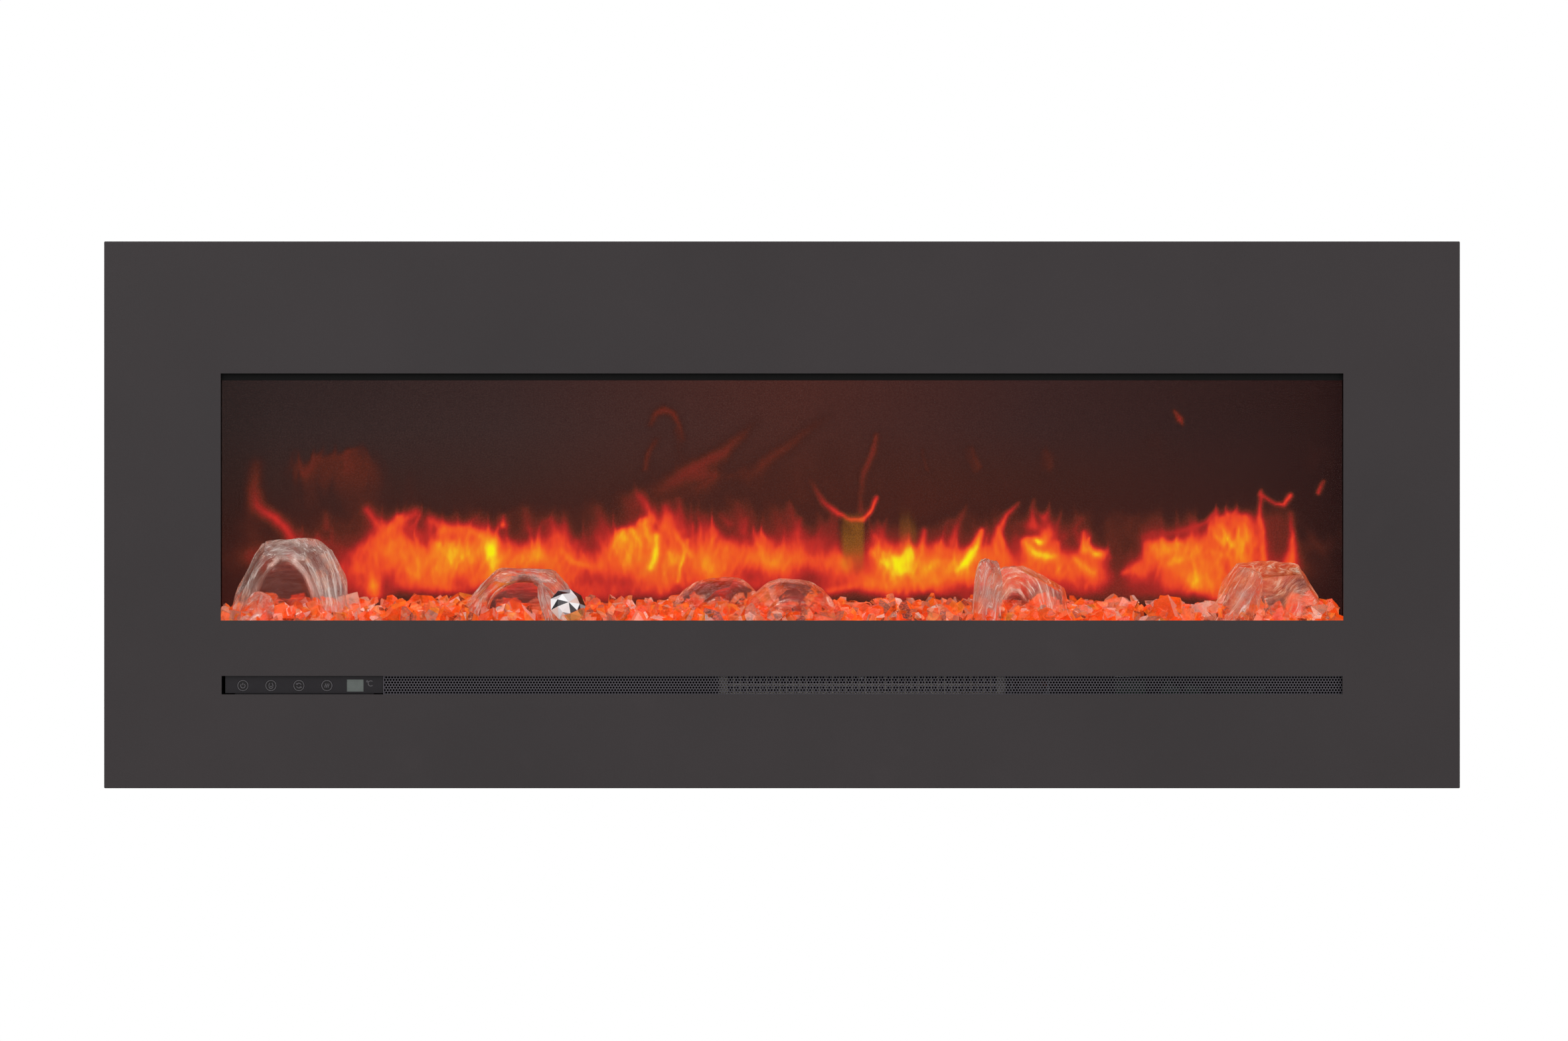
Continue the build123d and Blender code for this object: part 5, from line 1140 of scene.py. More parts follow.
# Tongues: cover, then place across, place up, width (mm) and heat at each bend.
TONGUES = (
    (0.95, ((35, 162, 6.9, 0.2), (33, 138, 6.9, 0.3), (40, 121, 5.8, 0.42),
            (57, 109, 4.5, 0.52), (68, 94, 4.5, 0.5), (76, 81, 6.4, 0.46))),
    (0.9, ((137, 70, 4.8, 0.56), (169, 87, 5.8, 0.66), (190, 103, 5.3, 0.62), (201, 110, 4.2, 0.54))),
    (0.95, ((153, 117, 3.5, 0.5), (161, 105, 4.2, 0.56), (171, 88, 4.8, 0.68))),
    (0.8, ((110, 111, 2.7, 0.28), (110, 97, 3.2, 0.36))),
    (0.9, ((218, 104, 5.8, 0.58), (226, 101, 4.8, 0.6), (228, 93, 4.8, 0.7))),
    (0.85, ((231, 96, 4.8, 0.72), (256, 96, 4.8, 0.73), (272, 88, 4.8, 0.74), (283, 82, 4.2, 0.84))),
    (0.6, ((223, 82, 3.2, 0.85), (226, 64, 3.7, 0.78), (216, 42, 4.2, 0.68))),
    (0.85, ((285, 69, 3.7, 0.97), (287, 56, 3.2, 0.86), (292, 42, 4.2, 0.72))),
    (0.9, ((296, 109, 2.4, 0.42), (296, 100, 2.9, 0.66))),
    (0.8, ((318, 117, 3.5, 0.3), (323, 96, 4.8, 0.42))),
    (0.85, ((347, 106, 3.2, 0.42), (352, 88, 5.3, 0.6))),
    (0.8, ((360, 96, 3.2, 0.44), (360, 80, 4.8, 0.6))),
    (0.8, ((371, 82, 3.7, 0.48), (370, 69, 4.8, 0.64))),
    (0.75, ((357, 72, 2.7, 0.76), (370, 61, 2.4, 0.84), (385, 55, 2.7, 0.8))),
    (0.85, ((161, 64, 5.3, 0.62), (160, 53, 3.7, 0.66), (161, 38, 4.5, 0.76), (161, 31, 5.3, 0.66))),
    (0.5, ((161, 53, 2.7, 0.6), (147, 58, 3.2, 0.62))),
    (0.6, ((208, 74, 2.1, 0.76), (203, 61, 2.1, 0.72))),
    (0.6, ((179, 80, 2.1, 0.74), (174, 69, 2.1, 0.7))),
    (0.5, ((240, 80, 2.1, 0.8), (236, 53, 2.4, 0.78))),
    (0.5, ((307, 56, 2.4, 0.76), (323, 69, 2.4, 0.76), (338, 64, 2.4, 0.74))),
    (0.8, ((394, 117, 3.7, 0.28), (401, 101, 5.3, 0.42), (407, 85, 5.8, 0.52))),
    (0.85, ((397, 58, 4.2, 0.66), (409, 77, 3.7, 0.76), (419, 94, 3.7, 0.84))),
    (0.95, ((438, 130, 4.8, 0.44), (445, 117, 4.5, 0.54), (449, 105, 3.7, 0.62))),
    (1, ((453, 90, 2.4, 0.92), (451, 76, 2.4, 0.99), (447, 57, 2.7, 1))),
    (0.8, ((442, 106, 2.7, 0.84), (445, 90, 3.2, 0.86), (448, 80, 2.7, 0.8))),
    (0.9, ((464, 118, 4.8, 0.5), (466, 101, 6.9, 0.64))),
    (0.85, ((477, 125, 2.9, 0.34), (480, 106, 3.7, 0.46), (482, 93, 4.2, 0.55))),
    (0.8, ((473, 93, 1.9, 0.66), (480, 80, 2.1, 0.8), (489, 67, 1.9, 0.76))),
    (0.85, ((486, 82, 1.6, 0.7), (480, 64, 1.6, 0.82), (476, 40, 1.6, 0.8))),
    (0.55, ((429, 96, 1.9, 0.9), (436, 80, 1.9, 0.86), (434, 58, 2.1, 0.78))),
    (0.6, ((464, 72, 2.1, 0.82), (469, 61, 2.7, 0.76))),
    (0.7, ((538, 122, 3.7, 0.3), (544, 101, 5.8, 0.42))),
    (0.7, ((549, 106, 2.1, 0.4), (546, 93, 3.2, 0.5))),
    (0.6, ((522, 109, 2.7, 0.38), (530, 101, 3.2, 0.46))),
    (0.75, ((594, 121, 3.2, 0.3), (604, 93, 4.8, 0.46))),
    (0.7, ((606, 106, 1.9, 0.42), (603, 90, 2.4, 0.54))),
    (0.6, ((577, 117, 5.8, 0.3), (583, 96, 5.8, 0.4))),
    (0.7, ((504, 104, 3.7, 0.4), (507, 90, 4.2, 0.55))),
    (0.7, ((623, 111, 3.2, 0.28), (627, 85, 4.2, 0.46))),
    (0.95, ((617, 146, 3.2, 0.2), (628, 125, 3.2, 0.42), (642, 114, 2.4, 0.56),
            (657, 107, 2.1, 0.6), (669, 107, 2.1, 0.6))),
    (0.95, ((669, 107, 2.1, 0.6), (677, 115, 2.4, 0.62), (683, 130, 2.4, 0.54))),
    (0.8, ((668, 133, 2.4, 0.28), (668, 117, 2.9, 0.36))),
    (0.9, ((683, 192, 3.5, 0.3), (679, 175, 3.7, 0.34), (671, 155, 3.7, 0.32), (670, 137, 3.2, 0.26))),
    (0.85, ((730, 179, 2.4, 0.2), (736, 157, 2.9, 0.24))),
    (0.85, ((784, 177, 2.7, 0.22), (792, 159, 3.2, 0.28))),
    (0.85, ((445, 158, 2.9, 0.28), (447, 175, 2.9, 0.28), (453, 186, 3.2, 0.22))),
    (0.9, ((446, 203, 4.2, 0.22), (452, 213, 4.2, 0.29), (461, 217, 4.2, 0.31),
            (472, 213, 4.2, 0.31), (477, 202, 3.7, 0.28), (481, 188, 3.2, 0.2))),
    (0.6, ((451, 186, 4.2, 0.2), (461, 194, 3.2, 0.14))),
    (0.7, ((472, 196, 3.2, 0.24), (481, 170, 3.2, 0.14))),
    (0.9, ((457, 137, 8, 0.24), (488, 157, 6.4, 0.34), (519, 173, 6.9, 0.33),
            (546, 193, 5.8, 0.24), (557, 206, 5.3, 0.14))),
    (0.9, ((551, 151, 6.9, 0.2), (567, 163, 7.4, 0.27), (591, 179, 6.9, 0.26),
            (612, 199, 5.8, 0.2), (634, 218, 5.3, 0.12))),
    (0.7, ((493, 151, 8, 0.32), (514, 151, 5.8, 0.33), (496, 135, 5.3, 0.26))),
    (0.5, ((530, 149, 3.2, 0.26), (546, 159, 4.2, 0.24))),
    (0.85, ((734, 96, 2.4, 0.52), (732, 80, 2.9, 0.68), (729, 58, 3.2, 0.74))),
    (0.8, ((777, 120, 2.4, 0.26), (768, 104, 2.9, 0.4), (762, 82, 3.2, 0.54))),
    (1, ((792, 94, 2.4, 0.66), (788, 76, 3.5, 0.9), (777, 62, 3.5, 1), (767, 52, 2.4, 0.84))),
    (0.6, ((737, 53, 2.4, 0.8), (750, 62, 2.4, 0.78), (766, 60, 2.4, 0.76))),
    (0.6, ((679, 69, 2.4, 0.76), (695, 68, 2.7, 0.8))),
    (0.8, ((631, 32, 2.7, 0.6), (647, 34, 3.2, 0.64), (663, 37, 2.7, 0.6))),
    (0.95, ((833, 123, 2.1, 0.36), (821, 109, 2.9, 0.56), (812, 92, 3.7, 0.6),
            (807, 74, 4.8, 0.62), (804, 58, 6.4, 0.62))),
    (0.7, ((812, 96, 2.1, 0.58), (815, 80, 2.7, 0.66), (820, 64, 3.2, 0.64))),
    (0.9, ((850, 126, 2.1, 0.28), (848, 111, 3.5, 0.46), (847, 101, 4.8, 0.6))),
    (0.9, ((840, 82, 2.9, 0.76), (847, 72, 3.5, 0.88), (865, 68, 2.9, 0.84), (871, 70, 2.4, 0.74))),
    (0.7, ((896, 106, 2.4, 0.34), (890, 96, 2.1, 0.42), (894, 85, 2.1, 0.44))),
    (0.9, ((899, 92, 2.1, 0.62), (901, 78, 2.7, 0.8))),
    (0.85, ((892, 66, 2.4, 0.76), (906, 53, 2.7, 0.84))),
    (0.7, ((873, 82, 2.4, 0.66), (876, 53, 2.4, 0.72))),
    (0.7, ((922, 76, 2.4, 0.52), (926, 69, 2.4, 0.48))),
    (0.7, ((940, 52, 2.7, 0.6), (961, 58, 3.7, 0.66))),
    (0.7, ((964, 82, 2.4, 0.6), (967, 64, 2.4, 0.7))),
    (0.85, ((963, 88, 2.7, 0.4), (1003, 96, 2.9, 0.46),
            (1028, 105, 2.7, 0.52), (1039, 113, 2.4, 0.46))),
    (0.5, ((971, 80, 1.9, 0.72), (998, 80, 1.9, 0.76), (1009, 74, 1.9, 0.74))),
    (0.95, ((1086, 133, 2.1, 0.42), (1083, 106, 2.1, 0.58),
            (1086, 82, 2.1, 0.64), (1087, 62, 2.7, 0.7))),
    (0.95, ((1084, 131, 1.6, 0.5), (1091, 127, 1.6, 0.5), (1099, 121, 1.6, 0.48),
            (1108, 119, 2.1, 0.56), (1115, 128, 1.9, 0.62))),
    (0.95, ((1114, 109, 2.4, 0.36), (1116, 90, 2.7, 0.54), (1115, 72, 4.2, 0.66), (1112, 56, 8, 0.66))),
    (0.95, ((1150, 147, 1.6, 0.34), (1145, 134, 2.1, 0.52))),
    (0.95, ((991, 220, 1.9, 0.3), (997, 210, 3.2, 0.42), (1001, 203, 1.6, 0.26))),
    (0.8, ((860, 177, 3.2, 0.18), (865, 159, 6.4, 0.22))),
    (0.6, ((995, 240, 3.7, 0.12), (1003, 226, 3.7, 0.1))),
    (0.8, ((778, 175, 3.2, 0.18), (787, 154, 4.2, 0.22))),
    (0.4, ((894, 196, 6.4, 0.06), (926, 218, 8, 0.06))),
    (0.6, ((969, 194, 5.3, 0.12), (982, 170, 5.3, 0.09))),
    (0.6, ((1032, 96, 2.1, 0.66), (1036, 80, 2.1, 0.7), (1040, 56, 2.1, 0.72))),
    (0.5, ((1072, 93, 2.4, 0.7), (1075, 66, 2.4, 0.74))),
)
# Upright bands: left, right, lower and upper limit (mm), amount of olive.
OLIVE_BANDS = ((648, 670, 58, 106, 0.95), (708, 725, 78, 118, 0.45))
# The unlit screen's tones (0 to 255) at these places across and up (mm); they darken towards the window's
# left and right ends as painted shade.
GROUND_ACROSS = (0, 60, 300, 600, 850, 1050, 1140, 1170)
GROUND_UP = (0, 60, 100, 150, 200, 257)
GROUND_TONES = (
    ((58, 16, 12), (78, 20, 15), (90, 22, 15), (96, 24, 15),
     (92, 22, 15), (84, 20, 15), (50, 12, 10), (30, 6, 7)),
    ((54, 18, 13), (72, 22, 16), (86, 24, 16), (94, 26, 15),
     (86, 23, 15), (76, 21, 15), (48, 14, 11), (30, 6, 7)),
    ((46, 21, 16), (58, 24, 18), (66, 27, 19), (82, 30, 18),
     (68, 23, 15), (56, 20, 15), (44, 15, 12), (28, 7, 8)),
    ((42, 27, 24), (52, 32, 28), (58, 34, 29), (78, 33, 23),
     (62, 28, 21), (50, 23, 20), (40, 16, 15), (26, 7, 9)),
    ((38, 31, 30), (46, 35, 34), (56, 39, 37), (76, 38, 31),
     (56, 33, 31), (44, 24, 23), (38, 18, 17), (26, 8, 10)),
    ((35, 30, 30), (42, 34, 34), (54, 38, 37), (78, 40, 34),
     (56, 34, 33), (44, 26, 25), (37, 19, 19), (24, 9, 10)),
)


@dataclass
class FlameScreen:
    """The flame screen: a thin flat sheet painted with fire, which stands for the frame's screen."""

    columns: int = 596
    rows: int = 149

    def build(self, palette: Palette, studio: Studio) -> None:
        """Builds the screen and dresses the parts that hold it.

        Args:
            palette: the finishes.
            studio: the studio, whose camera line sets how the fire lines up with the window.
        """
        low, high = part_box("flame_screen")
        bm = bmesh.new()
        bmesh.ops.create_grid(bm, x_segments=self.columns, y_segments=self.rows, size=0.5)
        bmesh.ops.rotate(bm, verts=bm.verts, matrix=Matrix.Rotation(math.pi / 2, 3, "X"))
        bmesh.ops.scale(bm, verts=bm.verts, vec=(high.x - low.x, 1.0, high.z - low.z))
        bmesh.ops.translate(bm, verts=bm.verts, vec=((low.x + high.x) / 2, low.y, (low.z + high.z) / 2))
        rim = [edge for edge in bm.edges if edge.is_boundary]
        walls = bmesh.ops.extrude_edge_only(bm, edges=rim)["geom"]
        corners = [item for item in walls if isinstance(item, bmesh.types.BMVert)]
        bmesh.ops.translate(bm, verts=corners, vec=(0.0, high.y - low.y, 0.0))
        back = [item for item in walls if isinstance(item, bmesh.types.BMEdge) and item.is_boundary]
        bmesh.ops.contextual_create(bm, geom=back)
        bmesh.ops.recalc_face_normals(bm, faces=bm.faces)
        sheet = palette.piece("flame_sheet", bm, "casing", Slot.SCREEN_PLASTIC)
        self._paint(sheet.data, studio)
        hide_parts("flame_screen")
        palette.dress(["screen_brackets", "flame_stencil", "flame_led_board"])

    def _paint(self, data: bpy.types.Mesh, studio: Studio) -> None:
        """Paints the fire on the sheet, laid out as it is seen through the window.

        Args:
            data: the sheet's mesh.
            studio: the studio whose camera looks through the window.
        """
        camera = bpy.context.scene.camera.location
        spots = np.zeros(len(data.vertices) * 3)
        data.vertices.foreach_get("co", spots)
        spots = spots.reshape(-1, 3)
        shrink = studio.distance / (spots[:, 1] - camera.y)
        x = camera.x + (spots[:, 0] - camera.x) * shrink
        z = camera.z + (spots[:, 2] - camera.z) * shrink
        u = (x - WINDOW_LEFT) / MM
        v = (z - WINDOW_BOTTOM) / MM
        painting = FlamePainting()
        heat = painting.heat(u, v)
        paint(data, "blaze", "POINT", np.stack([heat, painting.olive(u, v), np.zeros_like(heat)], -1))
        paint(data, "ground", "POINT", painting.ground(u, v))


@dataclass
class ChunkCutter:
    """Cuts convex chunks of broken glass out of a block with random planes."""

    draws: random.Random
    planes: int = 9

    def template(self, name: str) -> bpy.types.Mesh:
        """Cuts one chunk about 2 units across.

        Args:
            name: the mesh's name.

        Returns:
            The chunk.
        """
        bm = bmesh.new()
        bmesh.ops.create_cube(bm, size=2.0)
        for _ in range(self.planes):
            way = Vector([self.draws.gauss(0.0, 1.0) for _ in range(3)]).normalized()
            self.slice(bm, way, self.draws.uniform(0.52, 0.86))
        data = bpy.data.meshes.new(name)
        bm.to_mesh(data)
        bm.free()
        return data

    @staticmethod
    def slice(bm: bmesh.types.BMesh, way: Vector, reach: float) -> None:
        """Cuts off what lies beyond a plane and closes the cut.

        Args:
            bm: the shape.
            way: the direction of the part cut off.
            reach: how far the plane is from the middle.
        """
        everything = [*bm.verts, *bm.edges, *bm.faces]
        cut = bmesh.ops.bisect_plane(bm, geom=everything, dist=1e-5, plane_co=way * reach, plane_no=way,
                                     clear_outer=True)["geom_cut"]
        edges = [item for item in cut if isinstance(item, bmesh.types.BMEdge)]
        if edges:
            bmesh.ops.contextual_create(bm, geom=edges)


@dataclass
class CrystalBed:
    """The lit tray, the small broken crystals over it and the large boulders among them."""

    count: int = 980
    smallest: float = 5.0 * MM
    largest: float = 17.0 * MM
    fill_front: float = 9.0 * MM
    fill_back: float = 25.0 * MM
    shapes: int = 14
    longest_edge: float = 0.13
    crease: float = 0.35
    gem_across: float = 360.0 * MM
    gem_back: float = -122.0 * MM
    gem_rise: float = 14.0 * MM
    gem_tilt: float = math.radians(64)

    def build(self, palette: Palette) -> None:
        """Builds the bed.

        Args:
            palette: the finishes.
        """
        draws = random.Random(SEED)
        cutter = ChunkCutter(draws)
        self._media(palette, draws, cutter)
        glass = palette.special("boulder_glass", BoulderGlass())
        made = [self._boulder(palette, glass, plan, cutter) for plan in BOULDERS]
        made.append(self._gem(palette, draws))
        for piece in made:
            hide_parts("crystal_boulders")
        palette.dress(["ember_tray", "ember_led_board"])

    def _media(self, palette: Palette, draws: random.Random, cutter: ChunkCutter) -> None:
        """Heaps the small crystals.

        Args:
            palette: the finishes.
            draws: the seeded draws.
            cutter: what cuts the chunks.
        """
        low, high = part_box("crystal_media")
        templates = [cutter.template(f"chunk_{number}") for number in range(self.shapes)]
        bm = bmesh.new()
        facet_lights: list[Colour] = []
        for _ in range(self.count):
            share = draws.random()
            radius = self.smallest + (self.largest - self.smallest) * draws.random() ** 2.4
            top = self.fill_front + (self.fill_back - self.fill_front) * share
            spot = Vector((draws.uniform(low.x + radius, high.x - radius),
                           low.y + radius + (high.y - low.y - 2 * radius) * share,
                           WINDOW_BOTTOM + top - radius * draws.uniform(0.5, 1.7)))
            turn = Euler([draws.uniform(0.0, math.tau) for _ in range(3)]).to_matrix().to_4x4()
            size = Matrix.Diagonal([radius * draws.uniform(0.75, 1.1) for _ in range(3)]).to_4x4()
            chunk = draws.choice(templates).copy()
            chunk.transform(Matrix.Translation(spot) @ turn @ size)
            bm.from_mesh(chunk)
            warm = draws.random()
            # each facet of the chunk gets its own painted light
            facet_lights += [self._facet_light(draws, warm) for _ in chunk.polygons]
            bpy.data.meshes.remove(chunk)
        for template in templates:
            bpy.data.meshes.remove(template)
        heap = palette.piece("crystal_heap", bm, "casing", Slot.CRYSTAL_GLASS)
        paint(heap.data, "facet", "FACE", np.array(facet_lights))
        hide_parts("crystal_media")

    @staticmethod
    def _facet_light(draws: random.Random, warm: float) -> Colour:
        """Picks a facet's tint.

        Args:
            draws: the seeded draws.
            warm: how much of the lamps' light the whole chunk has caught, from 0 to 1.

        Returns:
            A linear colour.
        """
        choices = WARM_FACET_LIGHTS if draws.random() < 0.35 + 0.55 * warm else PALE_AND_DARK_FACET_LIGHTS
        base = tone(*draws.choice(choices))
        gain = draws.uniform(0.75, 1.15)
        return tuple(part * gain for part in base[:3])

    def _boulder(self, palette: Palette, glass: bpy.types.Material, plan: "BoulderPlan",
                 cutter: ChunkCutter) -> bpy.types.Object:
        """Shapes one boulder: a dome with flat breaks, hollowed from both sides where it is an arch.

        Args:
            palette: the finishes.
            glass: the boulders' material.
            plan: the boulder's sizes.
            cutter: what makes its flat breaks.

        Returns:
            The boulder.
        """
        bm = bmesh.new()
        bmesh.ops.create_icosphere(bm, subdivisions=6, radius=1.0)
        for vert in bm.verts:
            vert.co = Vector([math.copysign(abs(part) ** plan.square, part) for part in vert.co])
        for way, reach in plan.breaks:
            cutter.slice(bm, Vector(way).normalized(), reach)
        bmesh.ops.triangulate(bm, faces=[face for face in bm.faces if len(face.verts) > 4])
        for _ in range(2):
            long_edges = [edge for edge in bm.edges if edge.calc_length() > self.longest_edge]
            bmesh.ops.subdivide_edges(bm, edges=long_edges, cuts=1, use_grid_fill=True)
            bmesh.ops.triangulate(bm, faces=[face for face in bm.faces if len(face.verts) > 4])
        cutter.slice(bm, Vector((0.0, 0.0, -1.0)), 0.02)
        for edge in bm.edges:
            edge.smooth = not (edge.is_manifold and edge.calc_face_angle(0.0) > self.crease)
        rims, flows = [], []
        for vert in bm.verts:
            x, y, z = vert.co
            ring = math.hypot((x - plan.eye[0]) / plan.eye[1], z / plan.eye[2])
            edge = min(1.0, max(0.0, (ring - 0.86) / 0.28))
            edge = edge * edge * (3 - 2 * edge)
            lump = noise.noise(Vector((x, y, z)) * 2.3 + Vector((plan.seed, 0.0, 0.0)))
            ridge = noise.noise(Vector((x, y, z)) * 5.5 + Vector((0.0, plan.seed, 0.0)))
            swell = 1.0 + 0.035 * lump + 0.018 * ridge
            thin = plan.web + (1.0 - plan.web) * edge
            angle = math.atan2(z, x - plan.eye[0])
            solid = plan.web > 0.5
            along = (0.8 * x + 0.6 * z) * plan.width / 2 if solid else angle * plan.width / 2
            over = (0.8 * z - 0.6 * x + 0.35 * lump) * plan.height if solid else ring * plan.height
            flows.append((along, over, y * plan.deep))
            # rim colour: thickness, warmth of the painted light, and painted shade where the ridge noise is
            # high
            rims.append((0.20 + (plan.milk - 0.20) * edge, plan.warmth + 0.3 * lump,
                         plan.painted_shade * max(0.0, ridge * 2.0)))
            vert.co = Vector((x * plan.width / 2 * swell, y * plan.deep / 2 * thin,
                              z * plan.height * swell))
        bmesh.ops.rotate(bm, verts=bm.verts, matrix=Matrix.Rotation(plan.lean, 3, "Y"))
        bottom = WINDOW_BOTTOM - plan.sunk
        bmesh.ops.translate(bm, verts=bm.verts, vec=(WINDOW_LEFT + plan.across, plan.back, bottom))
        piece = palette.piece(plan.name, bm, "casing", Slot.CRYSTAL_GLASS, glass, smooth=True)
        paint(piece.data, "rim", "POINT", np.array(rims))
        layer = piece.data.attributes.new("flow", "FLOAT_VECTOR", "POINT")
        layer.data.foreach_set("vector", np.array(flows, np.float32).ravel())
        return piece

    def _gem(self, palette: Palette, draws: random.Random) -> bpy.types.Object:
        """Cuts the one silvery faceted stone that lies against the glass.

        Args:
            palette: the finishes.
            draws: the seeded draws.

        Returns:
            The stone.
        """
        bm = bmesh.new()
        bmesh.ops.create_cone(bm, segments=9, radius1=11 * MM, radius2=19 * MM, depth=7 * MM,
                              cap_ends=True)
        upper = [vert for vert in bm.verts if vert.co.z > 0]
        top = [face for face in bm.faces if all(vert in upper for vert in face.verts)]
        bmesh.ops.inset_region(bm, faces=top, thickness=7 * MM, depth=5 * MM)
        base = [face for face in bm.faces if all(vert.co.z < -3 * MM for vert in face.verts)]
        bmesh.ops.poke(bm, faces=base, offset=10 * MM)
        bmesh.ops.poke(bm, faces=top, offset=3 * MM)
        bmesh.ops.triangulate(bm, faces=[face for face in bm.faces if len(face.verts) == 4])
        bmesh.ops.rotate(bm, verts=bm.verts, matrix=Euler((self.gem_tilt, 0.2, 0.1)).to_matrix())
        spot = (WINDOW_LEFT + self.gem_across, self.gem_back, WINDOW_BOTTOM + self.gem_rise)
        bmesh.ops.translate(bm, verts=bm.verts, vec=spot)
        # the stone's facets carry painted reflections, and it glows faintly with painted light
        gem = palette.piece("silver_gem", bm, "casing", Slot.CRYSTAL_GLASS,
                            palette.special("gem_glass", CutGlass(0.10, 0.16, warm=False)))
        facet_lights = [tone(*draws.choice(GEM_FACET_REFLECTIONS))[:3] for _ in gem.data.polygons]
        paint(gem.data, "facet", "FACE", np.array(facet_lights))
        return gem


@dataclass(frozen=True)
class BoulderPlan:
    """The sizes of one boulder, in metres, and how it is broken."""

    name: str
    across: float
    back: float
    width: float
    deep: float
    height: float
    eye: tuple[float, float, float] = (0.0, 0.1, 0.1)
    web: float = 1.0
    milk: float = 1.0
    warmth: float = 0.3
    # how dark the painted shade in the glass gets
    painted_shade: float = 0.5
    square: float = 0.66
    lean: float = 0.0
    seed: float = 0.0
    sunk: float = 4.0 * MM
    breaks: tuple = ()


# Painted light on the crystals' facets: orange light from the tray below, then pale painted reflections and
# dark painted shade.
WARM_FACET_LIGHTS = ((240, 103, 35), (240, 110, 42), (238, 96, 36), (246, 122, 44), (222, 82, 32), (240, 146, 96),
              (248, 156, 60))
PALE_AND_DARK_FACET_LIGHTS = ((238, 168, 132), (196, 158, 142), (150, 118, 106), (96, 52, 40), (248, 238, 230),
              (222, 186, 168), (232, 132, 84))
